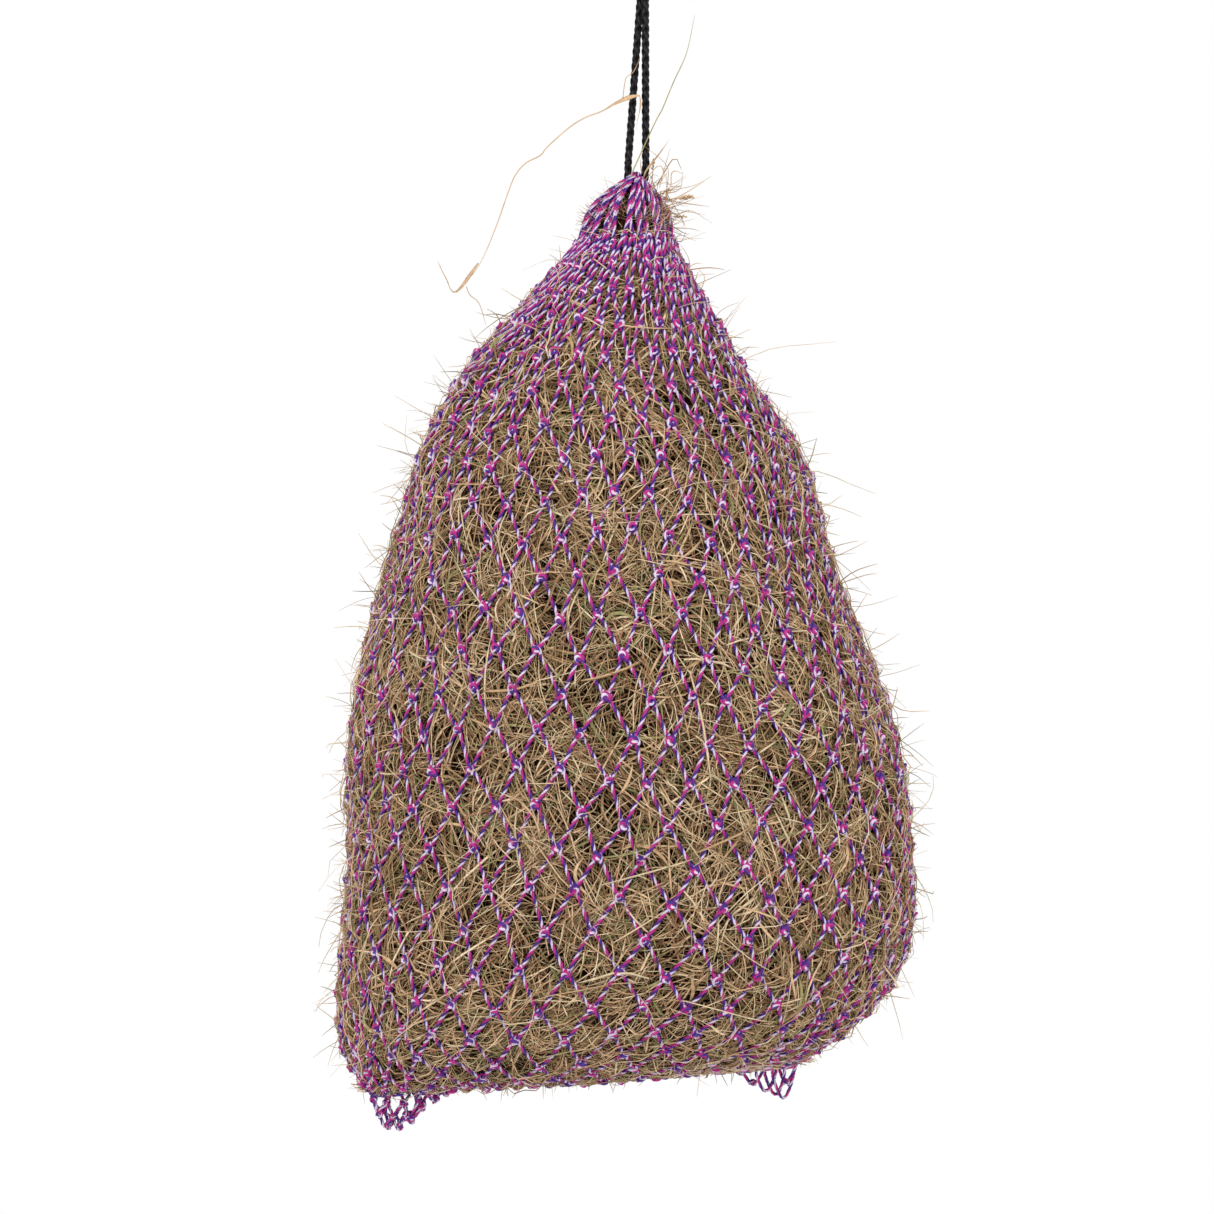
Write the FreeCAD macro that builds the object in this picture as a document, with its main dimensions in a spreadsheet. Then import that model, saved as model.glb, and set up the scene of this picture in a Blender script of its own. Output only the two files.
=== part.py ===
import FreeCAD, Part
import bisect
import math
import os
from FreeCAD import Placement, Rotation, Vector

# A hanging hay net: a knotted net tube full of hay, gathered at the neck on a doubled drawcord.
# Millimetres, +Z up, +X to the right seen from the front, the front faces -Y.
# The origin is the inside top of the hanging loop, where it rests on a hook or tie ring.

os.makedirs("parts", exist_ok=True)
doc = FreeCAD.newDocument("hay_net")

DIMENSIONS = [
    ("cord_diameter", 6.4),
    ("twine_diameter", 3.0),
    ("twine_knot_diameter", 6.0),
    ("twine_spread", 1.6),
    ("twine_end_gap", 0.15),
    ("mesh_bar", 37.5),
    ("neck_slack", 0.14),
    ("net_columns", 36),
    ("net_rows", 28),
    ("front_crowding", 0.04),
    ("knot_room", 6.3),
    ("hook_radius", 6.3),
    ("crown_angle", 120.0),
    ("leg_start_angle", 3.0),
    ("leg_shoulder_offset", 8.7),
    ("leg_shoulder_drop", 9.0),
    ("leg_foot_offset", 3.8),
    ("leg_foot_gap", 0.5),
    ("end_knot_radius", 13.0),
    ("end_knot_height", -46.0),
    ("tail_gap", 0.9),
    ("cord_gap", 0.4),
    ("run_top_offset", 1.8),
    ("run_top_spread", 3.0),
    ("run_middle_height", -108.0),
    ("run_middle_offset", 3.7),
    ("run_middle_spread", 0.7),
    ("run_foot_height", -207.0),
    ("run_foot_offset", 7.5),
    ("turn_height", -226.0),
    ("head_top_height", -229.0),
    ("head_outer_radius", 19.5),
    ("head_inner_radius", 14.5),
    ("head_foot_gap", 3.2),
    ("hay_inset", 7.0),
    ("hay_foot_lift", 9.0),
    ("lacing_length", 300.0),
    ("left_ear_centre", -170.0),
    ("left_ear_height", -1022.5),
    ("left_ear_half_length", 34.0),
    ("left_ear_half_height", 12.0),
    ("right_ear_centre", 144.0),
    ("right_ear_height", -989.0),
    ("right_ear_half_length", 22.0),
    ("right_ear_half_height", 13.0),
    ("ear_half_thickness", 10.0),
]

# The bag's level rings from the neck down to the bottom seam: height, centre, half width, half depth and
# the tilt that lifts the right side.
SECTION_FIELDS = ("height", "centre", "half_width", "half_depth", "tilt")
SECTIONS = [
    (-268.0, -7.1, 37.5, 37.0, 0.0),
    (-289.0, -11.1, 50.5, 50.0, 0.0),
    (-340.0, -16.5, 87.0, 87.0, 0.0),
    (-391.0, -20.2, 122.5, 121.0, 0.0),
    (-459.0, -13.8, 160.5, 154.0, 0.0),
    (-527.0, -10.0, 180.0, 172.0, 0.0),
    (-595.0, -4.2, 200.0, 187.0, 0.0),
    (-663.0, 4.6, 221.5, 200.0, 0.0),
    (-731.0, 11.5, 233.0, 205.0, 0.0),
    (-799.0, 14.3, 235.5, 205.0, 0.5),
    (-860.0, 12.1, 236.0, 200.0, 1.5),
    (-908.0, 5.3, 230.0, 183.0, 3.0),
    (-948.0, -5.5, 213.0, 146.0, 4.5),
    (-974.0, -14.8, 190.0, 88.0, 6.0),
    (-984.0, -19.3, 175.0, 14.0, 6.0),
]

SLACK_FREE_RING = 6

# The two tails of the cord, each from the end knot outwards: past the knot, towards the back and up.
TAIL_ROUTE = [(0.0, 1.5, 2.0), (8.7, 2.5, 0.5), (15.7, 4.0, -7.0)]

sheet = doc.addObject("Spreadsheet::Sheet", "Dimensions")


def write_cell(row, alias, value):
    """One named driving dimension in the sheet."""
    sheet.set(f"A{row}", alias)
    sheet.set(f"B{row}", str(value))
    sheet.setAlias(f"B{row}", alias)


def fill_sheet():
    """Every driving dimension, then the rings of the bag."""
    row = 1
    for alias, value in DIMENSIONS:
        write_cell(row, alias, value)
        row += 1
    for index, section in enumerate(SECTIONS):
        for field, value in zip(SECTION_FIELDS, section):
            write_cell(row, f"{field}_{index:02d}", value)
            row += 1
    doc.recompute()


fill_sheet()


def size(alias):
    """A driving dimension read back from the sheet."""
    return float(getattr(sheet, alias))


def ring_sizes(index):
    """Height, centre, half width, half depth and tilt of one ring of the bag."""
    return [size(f"{field}_{index:02d}") for field in SECTION_FIELDS]


# ---- the surface that the net lies on --------------------------------------------------------------

RINGS = [ring_sizes(index) for index in range(len(SECTIONS))]
COLUMNS = int(size("net_columns"))
ROWS = int(size("net_rows"))


def front_lengths():
    """The length along the front of the bag from the neck to each ring."""
    lengths = [0.0]
    for above, below in zip(RINGS, RINGS[1:]):
        lengths.append(lengths[-1] + math.hypot(below[0] - above[0], below[3] - above[3]))
    return lengths


LENGTHS = front_lengths()


def slope(field, index):
    """The rate of change of a ring value at a ring, from the rings beside it."""
    before = max(index - 1, 0)
    after = min(index + 1, len(RINGS) - 1)
    return (RINGS[after][field] - RINGS[before][field]) / (LENGTHS[after] - LENGTHS[before])


def ring_at(length):
    """The ring values at a length down the front: a cubic through the rings above and below."""
    index = min(max(bisect.bisect_right(LENGTHS, length) - 1, 0), len(RINGS) - 2)
    span = LENGTHS[index + 1] - LENGTHS[index]
    share = (length - LENGTHS[index]) / span
    start_weight = (1 + 2 * share) * (1 - share) ** 2
    end_weight = share ** 2 * (3 - 2 * share)
    start_slope = share * (1 - share) ** 2 * span
    end_slope = -(share ** 2) * (1 - share) * span
    values = []
    for field in range(len(SECTION_FIELDS)):
        values.append(
            start_weight * RINGS[index][field]
            + end_weight * RINGS[index + 1][field]
            + start_slope * slope(field, index)
            + end_slope * slope(field, index + 1)
        )
    return values


def ring_point(ring, angle):
    """The point of a ring at an angle: 0 is the right side, -90 degrees is the front."""
    height, centre, half_width, half_depth, tilt = ring
    across = half_width * math.cos(angle)
    lean = math.radians(tilt)
    return Vector(
        centre + across * math.cos(lean),
        half_depth * math.sin(angle),
        height + across * math.sin(lean),
    )


def row_lengths():
    """Where each row of knots lies down the front, from the mesh bar and the width of a column."""
    lengths = [0.0]
    column_angle = 2 * math.pi / COLUMNS
    while len(lengths) < ROWS:
        half_width = ring_at(min(lengths[-1], LENGTHS[-1]))[2]
        slack = 1 - size("neck_slack") * max(0.0, 1 - half_width / RINGS[SLACK_FREE_RING][2])
        bar = size("mesh_bar") * slack
        half_mesh = half_width * column_angle / 2
        lengths.append(lengths[-1] + math.sqrt(bar ** 2 - half_mesh ** 2))
    stretch = LENGTHS[-1] / lengths[-1]
    print(f"rows stretched by {stretch:.4f} to end at the seam")
    return [length * stretch for length in lengths]


ROW_RINGS = [ring_at(length) for length in row_lengths()]
BELLY_HALF_WIDTH = max(ring[2] for ring in RINGS)


def knot_angle(row, column):
    """The angle of a knot: odd rows stand half a column on, and the front columns stand closer."""
    even_angle = 2 * math.pi * (column + 0.5 * (row % 2)) / COLUMNS
    crowding = size("front_crowding") * ROW_RINGS[row][2] / BELLY_HALF_WIDTH
    return even_angle + crowding * math.sin(2 * even_angle)


def knot_centre(row, column):
    """The centre of a knot of the net."""
    return ring_point(ROW_RINGS[row], knot_angle(row, column))


def knot_tangent(row, column):
    """The direction along the row at a knot."""
    angle = knot_angle(row, column)
    ring = ROW_RINGS[row]
    return (ring_point(ring, angle + 0.01) - ring_point(ring, angle - 0.01)).normalize()


def has_room(row, column):
    """Whether a knot stands clear of the knots beside it; the bunched corners are the ears."""
    here = knot_centre(row, column)
    left = (knot_centre(row, column - 1) - here).Length
    right = (knot_centre(row, column + 1) - here).Length
    return min(left, right) > size("knot_room")


# ---- the net ---------------------------------------------------------------------------------------


def group(name, solids):
    """A named sub-part made of separate solids."""
    part = doc.addObject("Part::Feature", name)
    part.Shape = Part.makeCompound(solids)
    part.Placement = Placement()
    part.Label = name
    return part


def knot(row, column):
    """One sheet bend as a ball."""
    return Part.makeSphere(size("twine_knot_diameter") / 2, knot_centre(row, column))


def bar(row, column, side):
    """One twine bar down to the next row, side 1 to the right and -1 to the left."""
    below = column + (side - 1) // 2 + row % 2
    top = knot_centre(row, column) + knot_tangent(row, column) * (side * size("twine_spread"))
    foot = knot_centre(row + 1, below) - knot_tangent(row + 1, below) * (side * size("twine_spread"))
    along = (foot - top).normalize()
    reach = size("twine_knot_diameter") / 2 + size("twine_end_gap")
    start = top + along * (reach - (top - knot_centre(row, column)).dot(along))
    end = foot - along * (reach + (foot - knot_centre(row + 1, below)).dot(along))
    return Part.makeCylinder(size("twine_diameter") / 2, (end - start).Length, start, along)


def bar_has_room(row, column, side):
    """A bar is made where both of its knots are."""
    below = column + (side - 1) // 2 + row % 2
    return has_room(row, column) and has_room(row + 1, below)


def net_course(row):
    """One course: a row of knots and the bars that hang from it."""
    solids = [knot(row, column) for column in range(COLUMNS) if has_room(row, column)]
    for column in range(COLUMNS):
        for side in (-1, 1):
            if bar_has_room(row, column, side):
                solids.append(bar(row, column, side))
    if row == ROWS - 2:
        solids += [knot(row + 1, column) for column in range(COLUMNS) if has_room(row + 1, column)]
    return group(f"net_course_{row + 1:02d}", solids)


def head_loops():
    """The top meshes, each drawn up to the cord as one doubled strand, in an outer and an inner ring."""
    solids = []
    neck = ROW_RINGS[0]
    for column in range(COLUMNS):
        angle = knot_angle(0, column)
        radius = size("head_outer_radius") if column % 2 == 0 else size("head_inner_radius")
        top = Vector(radius * math.cos(angle), radius * math.sin(angle), size("head_top_height"))
        foot = ring_point(neck, angle)
        along = (top - foot).normalize()
        start = foot + along * size("head_foot_gap")
        solids.append(Part.makeCylinder(size("twine_diameter") / 2, (top - start).Length, start, along))
    return group("head_loops", solids)


def bottom_lacing():
    """The twine that closes the bottom seam, between the front and the back row of knots."""
    last = len(SECTIONS) - 1
    part = doc.addObject("Part::Cylinder", "bottom_lacing")
    part.Label = "bottom_lacing"
    part.setExpression("Radius", "Dimensions.twine_diameter / 2")
    part.setExpression("Height", "Dimensions.lacing_length")
    lean = math.radians(size(f"tilt_{last:02d}"))
    along = Vector(math.cos(lean), 0, math.sin(lean))
    middle = Vector(size(f"centre_{last:02d}"), 0, size(f"height_{last:02d}"))
    part.Placement = Placement(
        middle - along * (size("lacing_length") / 2),
        Rotation(Vector(0, 0, 1), along),
    )
    return part


def corner_ear(side):
    """The bunched netting that hangs below a bottom corner."""
    name = f"{side}_corner_ear"
    part = doc.addObject("Part::Ellipsoid", name)
    part.Label = name
    part.setExpression("Radius1", f"Dimensions.{side}_ear_half_height")
    part.setExpression("Radius2", f"Dimensions.{side}_ear_half_length")
    part.setExpression("Radius3", "Dimensions.ear_half_thickness")
    part.setExpression("Placement.Base.x", f"Dimensions.{side}_ear_centre")
    part.setExpression("Placement.Base.z", f"Dimensions.{side}_ear_height")
    return part


# ---- the hay ---------------------------------------------------------------------------------------


def hay_ring(index):
    """One level ellipse of the hay, inside the ring of the net."""
    ring = doc.addObject("Part::Ellipse", f"hay_ring_{index:02d}")
    ring.setExpression("MajorRadius", f"Dimensions.half_width_{index:02d} - Dimensions.hay_inset")
    ring.setExpression("MinorRadius", f"Dimensions.half_depth_{index:02d} - Dimensions.hay_inset")
    lift = size("hay_foot_lift") if index >= len(SECTIONS) - 3 else 0.0
    ring.Placement = Placement(
        Vector(size(f"centre_{index:02d}"), 0, size(f"height_{index:02d}") + lift),
        Rotation(Vector(0, 1, 0), -size(f"tilt_{index:02d}")),
    )
    return ring


def hay_fill():
    """The hay as one closed solid through its rings."""
    part = doc.addObject("Part::Loft", "hay_fill")
    part.Label = "hay_fill"
    part.Sections = [hay_ring(index) for index in range(len(SECTIONS))]
    part.Solid = True
    part.Ruled = False
    return part


# ---- the drawcord ----------------------------------------------------------------------------------


def rounded_path(name, points):
    """A route of straight runs joined by tangent arcs, as one wire."""
    edges = []
    start = points[0]
    for before, corner, after in zip(points, points[1:], points[2:]):
        inward = (corner - before).normalize()
        outward = (after - corner).normalize()
        half_turn = inward.getAngle(outward) / 2
        cut = 0.45 * min((corner - before).Length, (after - corner).Length)
        print(f"{name}: arc radius {cut / math.tan(half_turn):.1f} mm")
        arc_start = corner - inward * cut
        arc_end = corner + outward * cut
        bisector = (outward - inward).normalize()
        middle = corner + bisector * (cut * (1 - math.cos(half_turn)) / math.sin(half_turn))
        edges.append(Part.LineSegment(start, arc_start).toShape())
        edges.append(Part.Arc(arc_start, middle, arc_end).toShape())
        start = arc_end
    edges.append(Part.LineSegment(start, points[-1]).toShape())
    return Part.Wire(edges)


def tube(name, points):
    """A length of the cord along a route, checked against its section times its length."""
    path = rounded_path(name, points)
    radius = size("cord_diameter") / 2
    circle = Part.Circle(points[0], points[1] - points[0], radius).toShape()
    solid = path.makePipeShell([Part.Wire(circle)], True, False)
    expected = math.pi * radius ** 2 * path.Length
    print(f"{name}: length {path.Length:.1f} mm, volume {solid.Volume / expected:.4f} of the expected")
    return solid


def loop_crown():
    """The top of the hanging loop, over the hook."""
    part = doc.addObject("Part::Torus", "hanging_loop_crown")
    part.Label = "hanging_loop_crown"
    part.setExpression("Radius1", "Dimensions.hook_radius + Dimensions.cord_diameter / 2")
    part.setExpression("Radius2", "Dimensions.cord_diameter / 2")
    part.setExpression("Angle3", "Dimensions.crown_angle")
    upright = Rotation(Vector(1, 0, 0), 90)
    first_end = Rotation(Vector(0, 0, 1), 90 - size("crown_angle") / 2)
    part.Placement = Placement(Vector(0, 0, -size("hook_radius")), upright.multiply(first_end))
    return part


def loop_legs():
    """The two sides of the hanging loop, from the crown down into the end knot."""
    radius = size("hook_radius") + size("cord_diameter") / 2
    start_angle = math.radians(size("leg_start_angle"))
    top = -size("hook_radius") + radius * math.sin(start_angle)
    knot_top = size("end_knot_height") + size("end_knot_radius")
    solids = []
    for side in (-1, 1):
        route = [
            Vector(side * radius * math.cos(start_angle), 0, top),
            Vector(side * size("leg_shoulder_offset"), 0, top - size("leg_shoulder_drop")),
            Vector(side * size("leg_foot_offset"), 0, knot_top + size("leg_foot_gap")),
        ]
        solids.append(tube("hanging_loop_legs", route))
    return group("hanging_loop_legs", solids)


def end_knot():
    """The knot that ties the two ends of the cord together, as a ball."""
    part = doc.addObject("Part::Sphere", "cord_end_knot")
    part.Label = "cord_end_knot"
    part.setExpression("Radius", "Dimensions.end_knot_radius")
    part.setExpression("Placement.Base.z", "Dimensions.end_knot_height")
    return part


def cord_tails():
    """The two short ends of the cord past the end knot."""
    middle = size("end_knot_height")
    reach = size("end_knot_radius") + size("tail_gap")
    solids = []
    for side in (-1, 1):
        route = [Vector(side * (reach + out), side * back, middle + up) for out, back, up in TAIL_ROUTE]
        solids.append(tube("cord_tails", route))
    return group("cord_tails", solids)


def cord_run(side):
    """One taut run of the cord from the end knot down to the neck; the pair crosses a little at the top."""
    sign = -1 if side == "left" else 1
    top = size("end_knot_height") - size("end_knot_radius") - size("cord_gap")
    name = f"cord_run_{side}"
    route = [
        Vector(sign * size("run_foot_offset"), 0, size("run_foot_height")),
        Vector(
            sign * size("run_middle_offset"),
            -sign * size("run_middle_spread"),
            size("run_middle_height"),
        ),
        Vector(sign * size("run_top_offset"), -sign * size("run_top_spread"), top),
    ]
    return group(name, [tube(name, route)])


def neck_turn():
    """The bight of the cord that the head loops are gathered on."""
    offset = size("run_foot_offset")
    radius = size("cord_diameter") / 2
    top = size("run_foot_height") - size("cord_gap")
    centre = size("turn_height")
    left_top = Vector(-offset, 0, top)
    left_foot = Vector(-offset, 0, centre)
    right_foot = Vector(offset, 0, centre)
    right_top = Vector(offset, 0, top)
    path = Part.Wire(
        [
            Part.LineSegment(left_top, left_foot).toShape(),
            Part.Arc(left_foot, Vector(0, 0, centre - offset), right_foot).toShape(),
            Part.LineSegment(right_foot, right_top).toShape(),
        ]
    )
    circle = Part.Circle(left_top, left_foot - left_top, radius).toShape()
    return group("cord_neck_turn", [path.makePipeShell([Part.Wire(circle)], True, False)])


# ---- build, check and write ------------------------------------------------------------------------


def build_parts():
    """Every sub-part of the hay net."""
    parts = [loop_crown(), loop_legs(), end_knot(), cord_tails()]
    parts += [cord_run("left"), cord_run("right"), neck_turn(), head_loops()]
    parts += [net_course(row) for row in range(ROWS - 1)]
    parts += [bottom_lacing(), corner_ear("left"), corner_ear("right"), hay_fill()]
    return parts


def check_document():
    """Stop if any object of the document failed."""
    for item in doc.Objects:
        if "Invalid" in item.State or "Error" in item.State:
            raise RuntimeError(f"{item.Label} failed: {item.State}")


def check_and_write(parts):
    """Write each sub-part once its shape is known to be whole."""
    for part in parts:
        if part.Shape.isNull() or not part.Shape.isValid():
            raise RuntimeError(f"{part.Label} has no valid shape")
    for part in parts:
        part.Shape.exportStep(f"parts/{part.Label}.step")
    fill = parts[-1].Shape
    print(f"{len(parts)} parts; hay volume {fill.Volume / 1e6:.1f} litres, centre {fill.CenterOfMass}")


parts = build_parts()
doc.recompute()
check_document()
check_and_write(parts)
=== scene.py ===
"""The looks of a hanging hay net: laid twine, braided cord and loose hay around the CAD frame."""

import math

import bpy
import numpy as np
from mathutils import Matrix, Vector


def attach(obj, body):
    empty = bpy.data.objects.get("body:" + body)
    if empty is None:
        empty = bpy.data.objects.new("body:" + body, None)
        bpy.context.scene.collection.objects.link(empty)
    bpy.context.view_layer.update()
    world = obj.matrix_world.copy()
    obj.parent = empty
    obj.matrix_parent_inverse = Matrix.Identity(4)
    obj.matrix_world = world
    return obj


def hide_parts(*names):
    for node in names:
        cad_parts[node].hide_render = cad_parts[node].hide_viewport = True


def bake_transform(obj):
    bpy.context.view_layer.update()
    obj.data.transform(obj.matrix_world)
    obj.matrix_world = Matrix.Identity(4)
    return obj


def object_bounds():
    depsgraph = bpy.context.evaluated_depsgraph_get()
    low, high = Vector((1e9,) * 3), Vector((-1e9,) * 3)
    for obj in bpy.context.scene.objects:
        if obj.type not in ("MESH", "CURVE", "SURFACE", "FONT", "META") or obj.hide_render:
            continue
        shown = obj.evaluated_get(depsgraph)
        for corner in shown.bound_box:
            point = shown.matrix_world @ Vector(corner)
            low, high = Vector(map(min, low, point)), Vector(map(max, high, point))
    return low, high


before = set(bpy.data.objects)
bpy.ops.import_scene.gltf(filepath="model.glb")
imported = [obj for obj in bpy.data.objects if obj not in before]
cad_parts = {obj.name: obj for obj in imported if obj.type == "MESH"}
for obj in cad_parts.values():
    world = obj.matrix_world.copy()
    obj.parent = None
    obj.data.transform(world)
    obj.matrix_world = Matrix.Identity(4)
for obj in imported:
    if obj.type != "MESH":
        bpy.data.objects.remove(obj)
CAD_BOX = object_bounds()

# ---- sizes that the CAD model was built with, in metres ----

COLUMNS = 36
ROWS = 28
LAST_ROW = ROWS - 1
MESH_BAR = 0.0375
NECK_SLACK = 0.14
SLACK_FREE_RING = 6
FRONT_CROWDING = 0.04

# The bag's level rings from the neck down to the seam: height, centre, half width, half depth, and the
# tilt in degrees that lifts the right side.
RINGS = np.array(
    [
        (-0.2680, -0.0071, 0.0375, 0.0370, 0.0),
        (-0.2890, -0.0111, 0.0505, 0.0500, 0.0),
        (-0.3400, -0.0165, 0.0870, 0.0870, 0.0),
        (-0.3910, -0.0202, 0.1225, 0.1210, 0.0),
        (-0.4590, -0.0138, 0.1605, 0.1540, 0.0),
        (-0.5270, -0.0100, 0.1800, 0.1720, 0.0),
        (-0.5950, -0.0042, 0.2000, 0.1870, 0.0),
        (-0.6630, 0.0046, 0.2215, 0.2000, 0.0),
        (-0.7310, 0.0115, 0.2330, 0.2050, 0.0),
        (-0.7990, 0.0143, 0.2355, 0.2050, 0.5),
        (-0.8600, 0.0121, 0.2360, 0.2000, 1.5),
        (-0.9080, 0.0053, 0.2300, 0.1830, 3.0),
        (-0.9480, -0.0055, 0.2130, 0.1460, 4.5),
        (-0.9740, -0.0148, 0.1900, 0.0880, 6.0),
        (-0.9840, -0.0193, 0.1750, 0.0140, 6.0),
    ]
)
HEIGHT, CENTRE, HALF_WIDTH, HALF_DEPTH, TILT = range(5)

# The cord's routes, point by point as in the CAD model. The loop's arch over the hook is four points
# round the crown, and each run goes one point further, into the end knot.
LOOP_ROUTE = [
    (-0.0038, 0.0, -0.0325),
    (-0.0087, 0.0, -0.0148),
    (-0.0095, 0.0, -0.0024),
    (-0.0039, 0.0, 0.0032),
    (0.0039, 0.0, 0.0032),
    (0.0095, 0.0, -0.0024),
    (0.0087, 0.0, -0.0148),
    (0.0038, 0.0, -0.0325),
]
RUN_LEFT_ROUTE = [
    (-0.0075, 0.0, -0.207),
    (-0.0037, 0.0007, -0.108),
    (-0.0018, 0.0030, -0.0594),
    (-0.0012, 0.0024, -0.053),
]
RUN_RIGHT_ROUTE = [
    (0.0075, 0.0, -0.207),
    (0.0037, -0.0007, -0.108),
    (0.0018, -0.0030, -0.0594),
    (0.0012, -0.0024, -0.053),
]
TURN_ROUTE = [
    (-0.0075, 0.0, -0.2060),
    (-0.0075, 0.0, -0.2291),
    (-0.0031, 0.0, -0.2335),
    (0.0031, 0.0, -0.2335),
    (0.0075, 0.0, -0.2291),
    (0.0075, 0.0, -0.2060),
]
TAIL_LEFT_ROUTE = [
    (-0.006, -0.0010, -0.0445),
    (-0.0139, -0.0015, -0.044),
    (-0.0226, -0.0025, -0.0455),
    (-0.0296, -0.004, -0.053),
]
TAIL_RIGHT_ROUTE = [
    (0.006, 0.0010, -0.0445),
    (0.0139, 0.0015, -0.044),
    (0.0226, 0.0025, -0.0455),
    (0.0296, 0.004, -0.053),
]

UV_NAME = "OFBake"
rng = np.random.default_rng(20)


# ---- camera, light and floor ----

CAMERA_DISTANCE = 3.6
CAMERA_AIM = (-0.0121, 0.0, -0.585)
CAMERA_ROLL = 2.03
FRAME_WIDTH = 1.032
SENSOR = 36.0
FLOOR_HEIGHT = -1.6
FLOOR_RADIUS = 2.4


def new_object(name, data):
    """An object in the scene."""
    thing = bpy.data.objects.new(name, data)
    bpy.context.scene.collection.objects.link(thing)
    return thing


def add_camera():
    """A long lens straight in front of the bag, rolled a little as the net hangs off plumb in the frame."""
    data = bpy.data.cameras.new("camera")
    data.sensor_width = SENSOR
    data.lens = SENSOR * CAMERA_DISTANCE / FRAME_WIDTH
    camera = new_object("camera", data)
    x, y, z = CAMERA_AIM
    camera.matrix_world = (
        Matrix.Translation((x, y - CAMERA_DISTANCE, z))
        @ Matrix.Rotation(math.radians(90), 4, "X")
        @ Matrix.Rotation(math.radians(CAMERA_ROLL), 4, "Z")
    )
    bpy.context.scene.camera = camera


def add_area_light(name, place, aim, width, power):
    """A soft square light at a place, turned towards a point."""
    data = bpy.data.lights.new(name, "AREA")
    data.shape = "SQUARE"
    data.size = width
    data.energy = power
    light = new_object(name, data)
    away = unit(np.array(place) - np.array(aim))
    side = unit(np.cross((0.0, 0.0, 1.0), away))
    up = np.cross(away, side)
    matrix = np.identity(4)
    matrix[:3, 0], matrix[:3, 1], matrix[:3, 2], matrix[:3, 3] = side, up, away, place
    light.matrix_world = Matrix(matrix.tolist())


def add_world(strength):
    """Even white light from all round."""
    world = bpy.data.worlds.new("studio")
    world.use_nodes = True
    background = world.node_tree.nodes["Background"]
    background.inputs["Color"].default_value = (1.0, 1.0, 1.0, 1.0)
    background.inputs["Strength"].default_value = strength
    bpy.context.scene.world = world
    bpy.context.scene.view_settings.view_transform = "Standard"


def add_floor():
    """A pale round studio floor well below the bag."""
    turns = np.linspace(0, 2 * np.pi, 96, endpoint=False)
    rim = np.stack([FLOOR_RADIUS * np.cos(turns), FLOOR_RADIUS * np.sin(turns), 0 * turns + FLOOR_HEIGHT], -1)
    mesh = bpy.data.meshes.new("floor")
    mesh.from_pydata(rim.tolist(), [], [list(range(len(rim)))])
    looks = Looks("floor_white")
    noise = looks.add("ShaderNodeTexNoise", [("Scale", 3.0), ("Detail", 2.0)])
    colour = looks.ramp(noise.outputs["Fac"], [(0.3, (0.80, 0.80, 0.80)), (0.7, (0.84, 0.84, 0.84))])
    looks.tree.links.new(colour, looks.shader.inputs["Base Color"])
    looks.shader.inputs["Roughness"].default_value = 0.85
    mesh.materials.append(looks.material)
    floor = new_object("floor", mesh)


# ---- vectors, paths and meshes ----


def unit(vectors):
    """The vectors at length one."""
    vectors = np.asarray(vectors, float)
    return vectors / np.maximum(np.linalg.norm(vectors, axis=-1, keepdims=True), 1e-12)


def distances_along(line):
    """How far along a polyline each of its points is."""
    return np.concatenate([[0.0], np.cumsum(np.linalg.norm(np.diff(line, axis=0), axis=1))])


def total_length(line):
    """The length of a polyline."""
    return np.linalg.norm(np.diff(line, axis=0), axis=1).sum()


def evenly(curve, count):
    """Points at even steps of length along a polyline."""
    lengths = distances_along(curve)
    wanted = np.linspace(0, lengths[-1], count)
    return np.stack([np.interp(wanted, lengths, curve[:, axis]) for axis in range(3)], axis=-1)


def smooth_path(points, count):
    """A Catmull-Rom curve through given points, as evenly spaced points."""
    points = np.asarray(points, float)
    padded = np.vstack([2 * points[0] - points[1], points, 2 * points[-1] - points[-2]])
    share = np.linspace(0, 1, 12, endpoint=False)[:, None]
    pieces = []
    for a, b, c, d in zip(padded, padded[1:], padded[2:], padded[3:]):
        curve = 2 * b + (c - a) * share + (2 * a - 5 * b + 4 * c - d) * share**2
        pieces.append(0.5 * (curve + (3 * b - a - 3 * c + d) * share**3))
    return evenly(np.vstack([*pieces, points[-1:]]), count)


def rolling_frames(points):
    """Side and up directions along one path that turn as little as they can."""
    tangents = unit(np.gradient(points, axis=0))
    sides = [unit(np.cross((0.31, 0.9, 0.21), tangents[0]))]
    for tangent in tangents[1:]:
        sides.append(unit(sides[-1] - tangent * np.dot(sides[-1], tangent)))
    sides = np.array(sides)
    return sides, np.cross(tangents, sides)


def surface_frames(paths, ups):
    """Side and up directions along many paths that lie on a surface."""
    tangents = unit(np.gradient(paths, axis=1))
    sides = unit(np.cross(ups, tangents))
    return sides, np.cross(tangents, sides)


def polygon(sides, height=1.0):
    """An even polygon of radius one as a tube's section, flattened to a height."""
    turns = np.arange(sides) * 2 * np.pi / sides
    return np.stack([np.cos(turns), height * np.sin(turns)], -1)


def tube_points(paths, sides, ups, section, widths, thicknesses, twists):
    """Vertices of tubes along paths of one size: a section turned by a twist at every ring of every tube."""
    cos = np.cos(twists)[..., None]
    sin = np.sin(twists)[..., None]
    across = (section[:, 0] * cos - section[:, 1] * sin) * widths[..., None]
    above = (section[:, 0] * sin + section[:, 1] * cos) * thicknesses[..., None]
    offsets = sides[..., None, :] * across[..., None]
    return paths[..., None, :] + offsets + ups[..., None, :] * above[..., None]


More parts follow.
